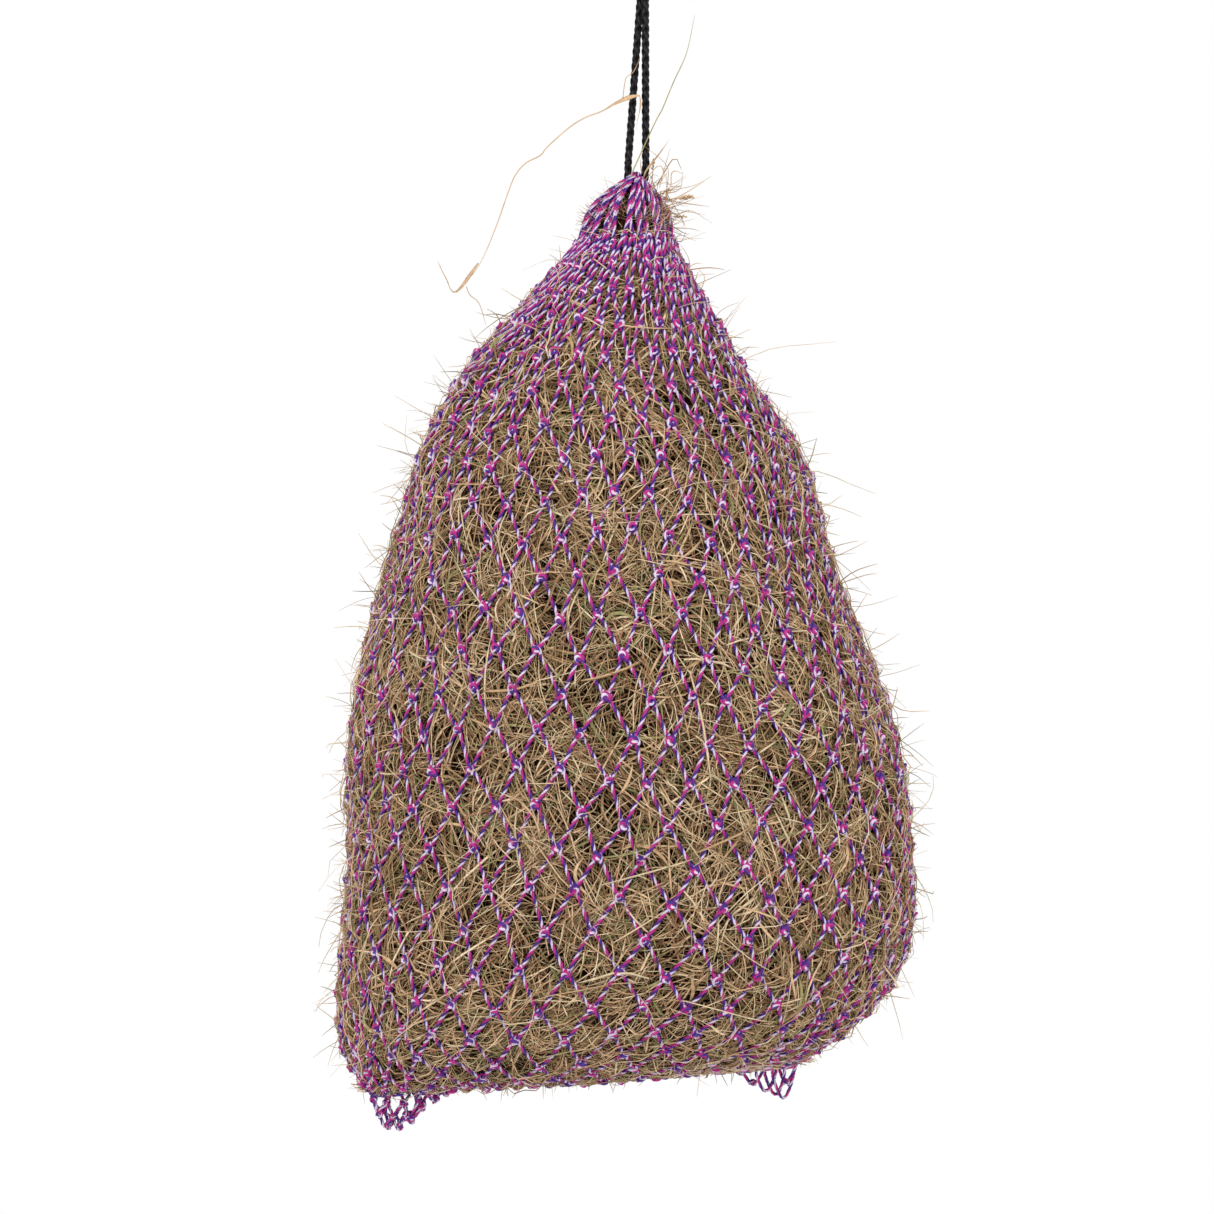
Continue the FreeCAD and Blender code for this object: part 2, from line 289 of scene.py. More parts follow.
def tube_faces(count, rings, sides, first=0):
    """Quads of closed tubes whose vertices run tube by tube and ring by ring, and their end caps."""
    tube = np.arange(count)[:, None, None] * rings * sides
    ring = np.arange(rings - 1)[None, :, None] * sides
    side = np.arange(sides)[None, None, :]
    after = (side + 1) % sides
    quads = np.stack([tube + ring + side, tube + ring + after], axis=-1)
    quads = np.concatenate([quads, quads[..., ::-1] + sides], axis=-1).reshape(-1, 4) + first
    starts = np.arange(count)[:, None] * rings * sides + first
    caps = np.concatenate([starts + np.arange(sides)[::-1], starts + (rings - 1) * sides + np.arange(sides)])
    return quads, caps


def tube_uvs(along, around, sides, span):
    """Corner UVs for tube_faces: u is along the tube, v starts at the tube's own value and goes round."""
    u_low = np.repeat(along[:, :-1, None], sides, axis=2)
    u_high = np.repeat(along[:, 1:, None], sides, axis=2)
    v_low = np.broadcast_to(around[:, None, None] + np.arange(sides) / sides * span, u_low.shape)
    v_high = v_low + span / sides
    corners = [(u_low, v_low), (u_low, v_high), (u_high, v_high), (u_high, v_low)]
    quads = np.stack([np.stack(corner, -1) for corner in corners], axis=3).reshape(-1, 4, 2)
    circle = np.linspace(0, 2 * np.pi, sides, endpoint=False)
    disc = np.stack([0.004 * np.cos(circle), 0.3 * span * np.sin(circle)], -1)
    start_middle = np.stack([along[:, 0], around + span / 2], -1)
    end_middle = np.stack([along[:, -1], around + span / 2], -1)
    caps = np.concatenate([start_middle, end_middle])[:, None, :] + disc
    return quads, np.clip(caps, 0, 1)


class Pile:
    """Tubes and patches that are gathered into one mesh."""

    def __init__(self):
        self.vertices = []
        self.groups = []
        self.count = 0

    def add_tubes(self, points, along, around, span=1.0):
        """Closed tubes: points is tube by ring by side, along is u by ring, around is v by tube."""
        count, rings, sides, _ = points.shape
        quads, caps = tube_faces(count, rings, sides, self.count)
        quad_uvs, cap_uvs = tube_uvs(along, around, sides, span)
        self.vertices.append(points.reshape(-1, 3))
        self.groups += [(quads, quad_uvs), (caps, cap_uvs)]
        self.count += count * rings * sides

    def add_patch(self, points, faces, uvs):
        """Any faces of one size, with their corners' UVs."""
        self.vertices.append(points)
        self.groups.append((faces + self.count, uvs))
        self.count += len(points)

    def build(self, name, material, slot):
        """One object from everything in the pile."""
        mesh = bpy.data.meshes.new(name)
        vertices = np.concatenate(self.vertices).astype(np.float32)
        corners = np.concatenate([faces.ravel() for faces, _ in self.groups]).astype(np.int32)
        sizes = np.concatenate([np.full(len(faces), faces.shape[1]) for faces, _ in self.groups])
        starts = np.concatenate([[0], np.cumsum(sizes)[:-1]]).astype(np.int32)
        mesh.vertices.add(len(vertices))
        mesh.vertices.foreach_set("co", vertices.ravel())
        mesh.loops.add(len(corners))
        mesh.loops.foreach_set("vertex_index", corners)
        mesh.polygons.add(len(sizes))
        mesh.polygons.foreach_set("loop_start", starts)
        mesh.polygons.foreach_set("use_smooth", np.ones(len(sizes), bool))
        layer = mesh.uv_layers.new(name=UV_NAME)
        uvs = np.concatenate([uv.reshape(-1, 2) for _, uv in self.groups]).astype(np.float32)
        layer.uv.foreach_set("vector", uvs.ravel())
        mesh.update(calc_edges=True)
        mesh.materials.append(material)
        obj = new_object(name, mesh)
        return obj


# ---- materials ----


def linear(red, green, blue):
    """A screen colour of 0 to 255 as the linear colour that shaders take."""
    values = np.array([red, green, blue]) / 255.0
    return tuple(np.where(values <= 0.04045, values / 12.92, ((values + 0.055) / 1.055) ** 2.4).tolist())


class Looks:
    """A procedural material, built node by node round its shader."""

    def __init__(self, name):
        self.material = bpy.data.materials.new(name)
        self.material.use_nodes = True
        self.tree = self.material.node_tree
        self.shader = self.tree.nodes["Principled BSDF"]

    def add(self, kind, inputs=(), **settings):
        """A node with its settings, and its inputs as values or as other nodes' outputs."""
        node = self.tree.nodes.new(kind)
        for key, value in settings.items():
            setattr(node, key, value)
        for socket, value in inputs:
            if isinstance(value, bpy.types.NodeSocket):
                self.tree.links.new(value, node.inputs[socket])
            else:
                node.inputs[socket].default_value = value
        return node

    def uv_and_v(self):
        """The bake layer's UV, and its v alone."""
        uv = self.add("ShaderNodeUVMap", uv_map=UV_NAME).outputs["UV"]
        return uv, self.add("ShaderNodeSeparateXYZ", [("Vector", uv)]).outputs["Y"]

    def ramp(self, value, stops, interpolation="LINEAR"):
        """A colour ramp with stops of (place, colour)."""
        node = self.add("ShaderNodeValToRGB", [("Fac", value)])
        node.color_ramp.interpolation = interpolation
        elements = node.color_ramp.elements
        while len(elements) < len(stops):
            elements.new(0.5)
        for element, (place, colour) in zip(elements, stops):
            element.position = place
            element.color = (*colour, 1.0)
        return node.outputs["Color"]

    def noise(self, vector, scale, detail=3.0):
        """Fine noise drawn out by a scale for each axis."""
        mapping = self.add("ShaderNodeMapping", [("Vector", vector), ("Scale", scale)])
        inputs = [("Vector", mapping.outputs["Vector"]), ("Scale", 1.0), ("Detail", detail)]
        return self.add("ShaderNodeTexNoise", [*inputs, ("Roughness", 0.6)]).outputs["Fac"]

    def multiplied(self, colour, grey, low, high):
        """A colour darkened and lightened by a grey value that is drawn over low to high."""
        drawn = [("Value", grey), ("From Min", 0.3), ("From Max", 0.7), ("To Min", low), ("To Max", high)]
        amount = self.add("ShaderNodeMapRange", drawn).outputs["Result"]
        product = self.add("ShaderNodeVectorMath", [(0, colour), (1, amount)], operation="MULTIPLY")
        return product.outputs["Vector"]

    def finish(self, colour, roughness, bump, specular):
        """The shader's inputs: roughness is (grey, low, high) and bump is (height, distance, strength)."""
        grey, low, high = roughness
        height, distance, strength = bump
        amount = self.add("ShaderNodeMapRange", [("Value", grey), ("To Min", low), ("To Max", high)])
        relief = [("Height", height), ("Distance", distance), ("Strength", strength)]
        normal = self.add("ShaderNodeBump", relief)
        self.tree.links.new(colour, self.shader.inputs["Base Color"])
        self.tree.links.new(amount.outputs["Result"], self.shader.inputs["Roughness"])
        self.tree.links.new(normal.outputs["Normal"], self.shader.inputs["Normal"])
        self.shader.inputs["Specular IOR Level"].default_value = specular
        return self.material


def twine_material():
    """Three plies in violet, magenta and lilac white, each of many fine shiny filaments."""
    looks = Looks("laid_twine")
    uv, v = looks.uv_and_v()
    stops = [(0.0, linear(72, 26, 132)), (0.36, linear(188, 34, 132)), (0.72, linear(222, 208, 232))]
    plies = looks.ramp(v, stops, "CONSTANT")
    filaments = looks.noise(uv, (9.0, 70.0, 1.0))
    patches = looks.noise(uv, (13.0, 4.0, 1.0))
    colour = looks.multiplied(looks.multiplied(plies, filaments, 0.78, 1.12), patches, 0.82, 1.08)
    return looks.finish(colour, (filaments, 0.42, 0.68), (filaments, 0.0003, 0.7), 0.4)


# Hay by depth and kind: dark brown at the low end, painted shade for stems that lie deep, up to bleached
# straw, then faded green and red.
HAY_STOPS = [
    (0.00, linear(30, 18, 9)),
    (0.12, linear(82, 56, 36)),
    (0.28, linear(136, 104, 74)),
    (0.45, linear(180, 146, 108)),
    (0.64, linear(216, 182, 142)),
    (0.80, linear(242, 218, 184)),
    (0.86, linear(168, 158, 108)),
    (0.94, linear(116, 116, 76)),
    (1.00, linear(186, 120, 94)),
]
# The packed hay's colours: the near-black low end is painted shade in the gaps between stems.
CORE_STOPS = [
    (0.42, linear(26, 16, 8)),
    (0.54, linear(58, 39, 24)),
    (0.62, linear(96, 72, 48)),
    (0.72, linear(140, 112, 80)),
]


def hay_material():
    """Dry stems and blades, each of its own tone, darker for deep stems as painted shade, with ribs along
    each one.
    """
    looks = Looks("dry_hay")
    uv, v = looks.uv_and_v()
    stems = looks.ramp(v, HAY_STOPS)
    ribs = looks.noise(uv, (5.0, 900.0, 1.0))
    blotches = looks.noise(uv, (14.0, 60.0, 1.0))
    colour = looks.multiplied(looks.multiplied(stems, ribs, 0.86, 1.10), blotches, 0.74, 1.12)
    return looks.finish(colour, (blotches, 0.5, 0.8), (ribs, 0.0002, 0.5), 0.08)


def core_material():
    """The mass of hay under the loose stems: crossing stems seen as streaks, with painted shade between them.
    """
    looks = Looks("packed_hay")
    uv, _ = looks.uv_and_v()
    level = looks.noise(uv, (60.0, 420.0, 1.0), 5.0)
    upright = looks.noise(uv, (520.0, 60.0, 1.0), 5.0)
    streaks = looks.add("ShaderNodeMath", [(0, level), (1, upright)], operation="MAXIMUM").outputs["Value"]
    colour = looks.ramp(streaks, CORE_STOPS)
    return looks.finish(colour, (streaks, 0.9, 0.6), (streaks, 0.003, 1.0), 0.04)


def cord_material():
    """Black braided polyester: fine filaments along each strand, with a painted highlight on each strand's
    crown and painted shade round the rest of it.
    """
    looks = Looks("black_braid")
    uv, v = looks.uv_and_v()
    filaments = looks.noise(uv, (24.0, 60.0, 1.0))
    dust = looks.noise(uv, (11.0, 5.0, 1.0))
    stops = [(0.3, linear(6, 6, 7)), (0.55, linear(17, 15, 17)), (0.75, linear(48, 45, 48))]
    shades = looks.ramp(filaments, stops)
    # Painted highlight: a lighter band along each strand's crown, and painted shade on the rest of its round.
    crown = looks.ramp(v, [(0.08, linear(0, 0, 0)), (0.25, linear(255, 255, 255)), (0.42, linear(0, 0, 0))])
    colour = looks.multiplied(looks.multiplied(shades, dust, 0.8, 1.25), crown, 0.25, 3.2)
    return looks.finish(colour, (filaments, 0.35, 0.55), (filaments, 0.0003, 0.8), 0.14)


# ---- the drawcord ----

# Strands that wind each way, the length of one turn, their mean distance from the middle and the weave.
BRAID_STRANDS = 3
BRAID_TURN = 0.038
BRAID_MIDDLE = 0.0020
BRAID_WEAVE = 0.00058
STRAND_HALF_WIDTH = 0.00180
STRAND_HALF_THICKNESS = 0.00088
CORD_CORE = 0.0015
STRAND_SECTION = polygon(8)
# The length of cord over which its filaments' pattern runs once across the UV square.
FILAMENT_SPAN = 0.06
# The end knot: the wraps' radius and its ripple, and the barrel's top and height.
WRAP_COUNT = 2.6
WRAP_RADIUS = 0.0066
WRAP_RIPPLE = 0.0006
BARREL_TOP = -0.0382
BARREL_HEIGHT = 0.0150


def route_points(name, route, step=0.0011):
    """Points read from the NURBS spline of a cord's route."""
    data = bpy.data.curves.new(name, "CURVE")
    data.dimensions = "3D"
    spline = data.splines.new("NURBS")
    spline.points.add(len(route) - 1)
    for point, place in zip(spline.points, route):
        point.co = (*place, 1.0)
    spline.order_u = 3
    spline.use_endpoint_u = True
    spline.resolution_u = 32
    curve = new_object(name, data)
    bpy.context.view_layer.update()
    mesh = bpy.data.meshes.new_from_object(curve)
    line = np.array([vertex.co[:] for vertex in mesh.vertices])
    bpy.data.objects.remove(curve)
    bpy.data.curves.remove(data)
    bpy.data.meshes.remove(mesh)
    return evenly(line, max(int(total_length(line) / step), 8) + 1)


def braid(pile, points):
    """Six flat strands that weave over and under each other round a core, along a line of points."""
    sides, ups = rolling_frames(points)
    distances = distances_along(points)
    strands = []
    outwards = []
    for hand in (1, -1):
        for strand in range(BRAID_STRANDS):
            angle = hand * 2 * np.pi * distances / BRAID_TURN + 2 * np.pi * strand / BRAID_STRANDS
            weave = hand * BRAID_WEAVE * np.cos(2 * np.pi * BRAID_STRANDS * distances / BRAID_TURN)
            outward = sides * np.cos(angle)[:, None] + ups * np.sin(angle)[:, None]
            strands.append(points + outward * (BRAID_MIDDLE + weave)[:, None])
            outwards.append(outward)
    strands = np.array(strands)
    outwards = np.array(outwards)
    frames = surface_frames(strands, outwards)
    shape = strands.shape[:2]
    widths = np.full(shape, STRAND_HALF_WIDTH)
    thicknesses = np.full(shape, STRAND_HALF_THICKNESS)
    tubes = tube_points(strands, *frames, STRAND_SECTION, widths, thicknesses, np.zeros(shape))
    along = np.abs(np.mod(distances / FILAMENT_SPAN, 2) - 1) * 0.98 + 0.01
    pile.add_tubes(tubes, np.tile(along, (len(strands), 1)), np.zeros(len(strands)))
    radii = np.full((1, len(points)), CORD_CORE)
    core = tube_points(points[None], sides[None], ups[None], STRAND_SECTION, radii, radii, 0 * radii)
    pile.add_tubes(core, along[None], np.zeros(1))


def cord_piece(name, lines, material):
    """One object of braided cord along one or more lines."""
    pile = Pile()
    for line in lines:
        braid(pile, line)
    return pile.build(name, material, "black_cord")


def knot_line():
    """The line of cord in the end knot: a barrel of wraps with the last one drawn across them."""
    turns = np.linspace(0, WRAP_COUNT * 2 * np.pi, 90)
    share = np.linspace(0, 1, 90)
    radius = WRAP_RADIUS + WRAP_RIPPLE * np.sin(3 * turns)
    wraps = np.stack([radius * np.cos(turns), radius * np.sin(turns), BARREL_TOP - BARREL_HEIGHT * share], -1)
    lead = [(0.0025, -0.0005, -0.031), (0.0045, 0.0, -0.0345)]
    across = [
        (-0.0062, 0.0088, -0.0500),
        (-0.0010, 0.0112, -0.0455),
        (0.0052, 0.0085, -0.0400),
        (0.0020, 0.0020, -0.0350),
    ]
    return smooth_path(np.vstack([lead, wraps[::6], across]), 150)


def add_cords():
    """The hanging loop, the end knot with its tails, the two runs and the turn that gathers the net."""
    material = cord_material()
    loop_line = route_points("loop_route", LOOP_ROUTE)
    left_line = route_points("left_route", RUN_LEFT_ROUTE)
    right_line = route_points("right_route", RUN_RIGHT_ROUTE)
    turn_line = route_points("turn_route", TURN_ROUTE)
    tail_lines = [route_points("tail_route", route) for route in (TAIL_LEFT_ROUTE, TAIL_RIGHT_ROUTE)]

    knot = cord_piece("drawcord_end_knot", [knot_line()], material)
    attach(knot, "tied_end")
    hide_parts("cord_end_knot")
    tails = cord_piece("drawcord_tails", tail_lines, material)
    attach(tails, "tied_end")
    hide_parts("cord_tails")

    loop = cord_piece("drawcord_hanging_loop", [loop_line], material)
    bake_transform(loop)
    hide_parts("hanging_loop_crown", "hanging_loop_legs")
    for side, line, route in (("left", left_line, RUN_LEFT_ROUTE), ("right", right_line, RUN_RIGHT_ROUTE)):
        run = cord_piece(f"drawcord_run_{side}", [line], material)
        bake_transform(run)
        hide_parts(f"cord_run_{side}")
    turn = cord_piece("drawcord_gathering_turn", [turn_line], material)
    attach(turn, "bag")
    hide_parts("cord_neck_turn")


# ---- the bag's surface ----


def ring_table(count=900):
    """Ring values at many lengths down the front, by a cubic through the rings as in the CAD model."""
    steps = np.hypot(np.diff(RINGS[:, HEIGHT]), np.diff(RINGS[:, HALF_DEPTH]))
    lengths = np.concatenate([[0.0], np.cumsum(steps)])
    slopes = np.empty_like(RINGS)
    slopes[1:-1] = (RINGS[2:] - RINGS[:-2]) / (lengths[2:] - lengths[:-2])[:, None]
    slopes[0] = (RINGS[1] - RINGS[0]) / (lengths[1] - lengths[0])
    slopes[-1] = (RINGS[-1] - RINGS[-2]) / (lengths[-1] - lengths[-2])
    fine = np.linspace(0, lengths[-1], count)
    index = np.clip(np.searchsorted(lengths, fine, side="right") - 1, 0, len(RINGS) - 2)
    span = (lengths[index + 1] - lengths[index])[:, None]
    share = (fine - lengths[index])[:, None] / span
    values = (
        (1 + 2 * share) * (1 - share) ** 2 * RINGS[index]
        + share**2 * (3 - 2 * share) * RINGS[index + 1]
        + share * (1 - share) ** 2 * span * slopes[index]
        - share**2 * (1 - share) * span * slopes[index + 1]
    )
    return fine, values


FINE_LENGTHS, FINE_RINGS = ring_table()


def rings_at(length):
    """The five ring values at each length down the front."""
    return np.stack([np.interp(length, FINE_LENGTHS, FINE_RINGS[:, field]) for field in range(5)], axis=-1)


def row_lengths():
    """Where each row of knots lies down the front, from the mesh bar and the width of a column."""
    lengths = [0.0]
    while len(lengths) < ROWS:
        half_width = rings_at(min(lengths[-1], FINE_LENGTHS[-1]))[HALF_WIDTH]
        slack = 1 - NECK_SLACK * max(0.0, 1 - half_width / RINGS[SLACK_FREE_RING, HALF_WIDTH])
        half_mesh = half_width * math.pi / COLUMNS
        lengths.append(lengths[-1] + math.sqrt((MESH_BAR * slack) ** 2 - half_mesh**2))
    return np.array(lengths) * FINE_LENGTHS[-1] / lengths[-1]


ROW_LENGTHS = row_lengths()
BELLY_HALF_WIDTH = RINGS[:, HALF_WIDTH].max()


def bare_point(row, column):
    """A point of the smooth bag at a row and column of the net, on knots or between them."""
    ring = rings_at(np.interp(row, np.arange(ROWS), ROW_LENGTHS))
    even = 2 * np.pi * column / COLUMNS
    angle = even + FRONT_CROWDING * ring[..., HALF_WIDTH] / BELLY_HALF_WIDTH * np.sin(2 * even)
    across = ring[..., HALF_WIDTH] * np.cos(angle)
    lean = np.radians(ring[..., TILT])
    x = ring[..., CENTRE] + across * np.cos(lean)
    y = ring[..., HALF_DEPTH] * np.sin(angle)
    z = ring[..., HEIGHT] + across * np.sin(lean)
    return np.stack([x, y, z], axis=-1)


def row_swelling(row, height, middle, spread):
    """A smooth rise or dip round a middle row."""
    return height * np.exp(-(((row - middle) / spread) ** 2))


def lumps(row, column):
    """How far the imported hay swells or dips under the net, in metres."""
    turn = 2 * np.pi * column / COLUMNS
    fade = np.clip(row / 6, 0, 1) * np.clip((LAST_ROW - row) / 4, 0, 1)
    broad = 0.0030 * np.sin(2 * turn + 0.35 * row + 1.0) + 0.0028 * np.sin(5 * turn - 0.60 * row)
    ripple = 0.7 * fade * (broad + 0.0022 * np.sin(9 * turn + 0.95 * row + 2.0))
    left_shoulder = row_swelling(row, -0.0070, 2.5, 3.0) * np.clip(-np.cos(turn), 0, 1) ** 2
    flanks = row_swelling(row, 0.0045, 11.5, 2.5) * np.cos(turn) ** 4
    return ripple + left_shoulder + flanks


GRID_STEP = 0.25


def bag_grid():
    """The lumpy bag by row and column: point, normal, across and down directions, and mesh sizes."""
    rows = np.arange(0, LAST_ROW + GRID_STEP / 2, GRID_STEP)[:, None]
    columns = np.arange(0, COLUMNS, GRID_STEP)[None, :]
    points = bare_point(rows + 0 * columns, columns + 0 * rows)
    across = (np.roll(points, -1, 1) - np.roll(points, 1, 1)) / (2 * GRID_STEP)
    down = np.gradient(points, axis=0) / GRID_STEP
    normals = unit(np.cross(down, across))
    points = points + normals * lumps(rows + 0 * columns, columns + 0 * rows)[..., None]
    sizes = np.stack([np.linalg.norm(across, axis=-1), np.linalg.norm(down, axis=-1)], axis=-1)
    return np.concatenate([points, normals, unit(across), unit(down), sizes], axis=-1)


GRID = bag_grid()


class Spot:
    """Places on the bag: point, outward normal, across and down directions, column width, row height."""

    def __init__(self, row, column):
        row = np.clip(row, 0, LAST_ROW) / GRID_STEP
        column = np.mod(column, COLUMNS) / GRID_STEP
        top = np.minimum(row.astype(int), GRID.shape[0] - 2)
        left = column.astype(int) % GRID.shape[1]
        right = (left + 1) % GRID.shape[1]
        down_share = (row - top)[..., None]
        across_share = (column - np.floor(column))[..., None]
        upper = GRID[top, left] * (1 - across_share) + GRID[top, right] * across_share
        lower = GRID[top + 1, left] * (1 - across_share) + GRID[top + 1, right] * across_share
        values = upper * (1 - down_share) + lower * down_share
        self.point = values[..., 0:3]
        self.normal = unit(values[..., 3:6])
        self.across = unit(values[..., 6:9])
        self.down = unit(values[..., 9:12])
        self.column_width = values[..., 12]
        self.row_height = values[..., 13]


def drift(row, column):
    """How far the net has crept over the hay at a place, in rows and in columns."""
    turn = 2 * np.pi * column / COLUMNS
    fade = np.clip(row / 5, 0, 1) * np.clip((LAST_ROW - row) / 3, 0, 1)
    rows = 0.16 * np.sin(3 * turn + 0.30 * row) + 0.12 * np.sin(7 * turn - 0.50 * row + 1.0)
    columns = 0.14 * np.sin(2 * turn + 0.42 * row + 0.5) + 0.09 * np.sin(6 * turn + 0.8 * row)
    return fade * rows, fade * columns


def swell(row, column):
    """How much the hay bulges through the mesh at a place: 0 under the twine, 1 at a mesh's middle."""
    shift_row, shift_column = drift(row, column)
    row = row - shift_row
    column = column - shift_column
    return np.abs(np.sin(np.pi * (column + row / 2)) * np.sin(np.pi * (column - row / 2)))


# ---- the net ----

# The twine is drawn half a millimetre thicker than the CAD's, and lifted clear of the hay.
TWINE_DIAMETER = 0.0035
TWINE_TURN = 0.0152
NET_LIFT = 0.0019
BAR_SPREAD = 0.0011
BAR_RINGS = 18
HEAD_TWINE_RADIUS = 0.0016
SLACK_TWINE_RADIUS = 0.0015
SLACK_KNOT_SCALE = 0.72
PLY_ANGLES = np.arange(9) * 2 * np.pi / 9
PLY_RADII = np.where(np.arange(9) % 3 == 0, 0.78, 1.06)
PLIES_9 = np.stack([PLY_RADII * np.cos(PLY_ANGLES), PLY_RADII * np.sin(PLY_ANGLES)], -1)
HEXAGON = polygon(6)
KNOT_SIZE = 0.0012
KNOT_TWINE = 0.0016

# The sheet bend, in units of KNOT_SIZE: across, outwards and up. The bight comes down from the course
# above. The new twine makes a ring over its front, goes round its back and leaves below.
BIGHT = [
    (-1.7, 0.2, 3.7),
    (-1.3, 1.0, 1.5),
    (-0.9, 1.3, 0.0),
    (0.0, 1.2, -0.9),
    (0.9, 1.3, 0.0),
    (1.3, 1.0, 1.5),
    (1.7, 0.2, 3.7),
]
WRAP = [
    (-1.7, 0.0, -3.7),
    (-2.2, 1.2, -1.4),
    (-1.9, 2.3, 0.7),
    (0.0, 2.8, 1.9),
    (1.9, 2.2, 0.9),
    (2.0, 1.7, -1.0),
    (0.3, 2.0, -1.9),
    (-1.9, 0.5, -0.8),
    (-2.4, -0.9, 1.1),
    (0.0, -1.5, 1.9),
    (2.4, -0.7, 1.0),
    (2.3, 0.4, -1.4),
    (1.7, 0.0, -3.7),
]


def spread_u(count, rings, share=0.3):
    """Each tube's u values: a random stretch of the twine's pattern."""
    start = rng.uniform(0.02, 0.98 - share, count)[:, None]
    return start + np.linspace(0, share, rings)[None, :]


def free_twine(path, section, radius):
    """One strand of laid twine along a free line."""
    twists = rng.uniform(0, 6) + np.linspace(0, 2 * np.pi * total_length(path) / TWINE_TURN, len(path))
    radii = np.full(len(path), radius)
    return tube_points(path, *rolling_frames(path), section, radii, radii, twists)


def knot_shapes(variants=4):
    """Some slightly different sheet bends as local vertices: bight tubes and wrap tubes."""
    shapes = []
    for _ in range(variants):
        parts = []
        for line, rings in ((BIGHT, 13), (WRAP, 24)):
            bent = np.array(line) + rng.normal(0, 0.20, (len(line), 3))
            parts.append(free_twine(smooth_path(bent * KNOT_SIZE, rings), HEXAGON, KNOT_TWINE))
        shapes.append(parts)
    return shapes


KNOT_SHAPES = knot_shapes()


def add_knots(pile, points, across, outward, up, scale=1.0):
    """Sheet bends at points, each turned and sized a little by chance."""
    count = len(points)
    variants = rng.integers(0, len(KNOT_SHAPES), count)
    lean = rng.normal(0, 0.16, count)[:, None]
    sizes = rng.uniform(0.92, 1.12, count)[:, None, None, None] * scale
    mirrors = rng.choice([-1.0, 1.0], count)[:, None, None, None]
    turned_across = across * np.cos(lean) + up * np.sin(lean)
    turned_up = up * np.cos(lean) - across * np.sin(lean)
    for variant, parts in enumerate(KNOT_SHAPES):
        chosen = variants == variant
        for part in parts:
            local = np.broadcast_to(part, (chosen.sum(), *part.shape)) * sizes[chosen]
            flip = mirrors[chosen][..., 0] * local[..., 0]
            axes = [axis[chosen][:, None, None, :] for axis in (turned_across, outward, turned_up)]
            placed = flip[..., None] * axes[0] + local[..., 1:2] * axes[1] + local[..., 2:3] * axes[2]
            placed = placed + points[chosen][:, None, None, :]
            mirrored = mirrors[chosen][:, 0, 0, 0] < 0
            placed[mirrored] = placed[mirrored][:, :, ::-1]
            if len(placed):
                pile.add_tubes(placed, spread_u(len(placed), part.shape[0]), np.zeros(len(placed)))


def add_twine(pile, paths, ups, radius=TWINE_DIAMETER / 2):
    """Laid twine along many surface paths of one size."""
    count, rings = paths.shape[:2]
    sides, outward = surface_frames(paths, ups)
    lengths = np.linalg.norm(np.diff(paths, axis=1), axis=2).sum(axis=1)
    windings = (2 * np.pi * lengths / TWINE_TURN)[:, None]
    turns = rng.uniform(0, 2 * np.pi, count)[:, None] + np.linspace(0, 1, rings) * windings
    radii = np.full((count, rings), radius)
    tubes = tube_points(paths, sides, outward, PLIES_9, radii, radii, turns)
    pile.add_tubes(tubes, spread_u(count, rings), np.zeros(count))


def add_loose_twine(pile, path, radius=TWINE_DIAMETER / 2):
    """Laid twine along one free line."""
    tube = free_twine(path, PLIES_9, radius)
    pile.add_tubes(tube[None], spread_u(1, len(path)), np.zeros(1))


def knot_places():
    """Rows and columns on the bag of every knot, each a little off its even place."""
    rows = np.arange(ROWS)[:, None] + rng.normal(0, 0.045, (ROWS, COLUMNS))
    rows[0] = rng.uniform(0.0, 0.4, COLUMNS)
    rows[1:4] += rng.normal(0, 1, (3, COLUMNS)) * np.array([[0.20], [0.15], [0.10]])
    rows[-1] = LAST_ROW
    half_steps = 0.5 * (np.arange(ROWS)[:, None] % 2)
    columns = np.arange(COLUMNS) + half_steps + rng.normal(0, 0.045, (ROWS, COLUMNS))
    shift_rows, shift_columns = drift(rows, columns)
    return rows + shift_rows, columns + shift_columns


KNOT_ROWS, KNOT_COLUMNS = knot_places()


def add_row_of_knots(pile, row):
    """The knots of one row."""
    spot = Spot(KNOT_ROWS[row], KNOT_COLUMNS[row])
    size = (0.62, 0.80, 0.90)[row] if row < 3 else 1.0
    add_knots(pile, spot.point + spot.normal * NET_LIFT, spot.across, spot.normal, -spot.down, size)


def add_bars(pile, row):
    """The bars between two rows, drawn straight from knot to knot over the hay."""
    share = np.linspace(0.0, 1.0, BAR_RINGS)
    column = np.arange(COLUMNS)
    for side in (-1, 1):
        below = (column + (side - 1) // 2 + row % 2) % COLUMNS
        top_column = KNOT_COLUMNS[row]
        foot_column = KNOT_COLUMNS[row + 1][below]
        foot_column = foot_column + COLUMNS * np.round((top_column - foot_column) / COLUMNS)
        top = Spot(KNOT_ROWS[row], top_column)
        foot = Spot(KNOT_ROWS[row + 1][below], foot_column)
        apart = side * BAR_SPREAD
        start = (top.point + top.across * apart)[:, None, :]
        end = (foot.point - foot.across * apart)[:, None, :]
        chord = start + (end - start) * share[None, :, None]
        rows = KNOT_ROWS[row][:, None] * (1 - share) + KNOT_ROWS[row + 1][below][:, None] * share
        spot = Spot(rows, top_column[:, None] * (1 - share) + foot_column[:, None] * share)
        rise = ((spot.point - chord) * spot.normal).sum(-1) + NET_LIFT
        add_twine(pile, chord + spot.normal * rise[..., None], spot.normal)


def add_net(material):
    """Every course of the net, each standing for its CAD course."""
    for row in range(LAST_ROW):
        pile = Pile()
        add_row_of_knots(pile, row)
        add_bars(pile, row)
        if row == LAST_ROW - 1:
            add_row_of_knots(pile, LAST_ROW)
        course = pile.build(f"twine_course_{row + 1:02d}", material, "net_twine")
        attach(course, "bag")
        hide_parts(f"net_course_{row + 1:02d}")


# How the gathered strands close in from the first row of knots up to the cord: height, the share of the
# knots' distance from the middle that is left there, and how far the line has left the net for the cord.
GATHER = ((-0.2500, 0.76, 0.15), (-0.2335, 0.48, 0.6), (-0.2240, 0.24, 1.0))
CORD_CLEARANCE = 0.0052
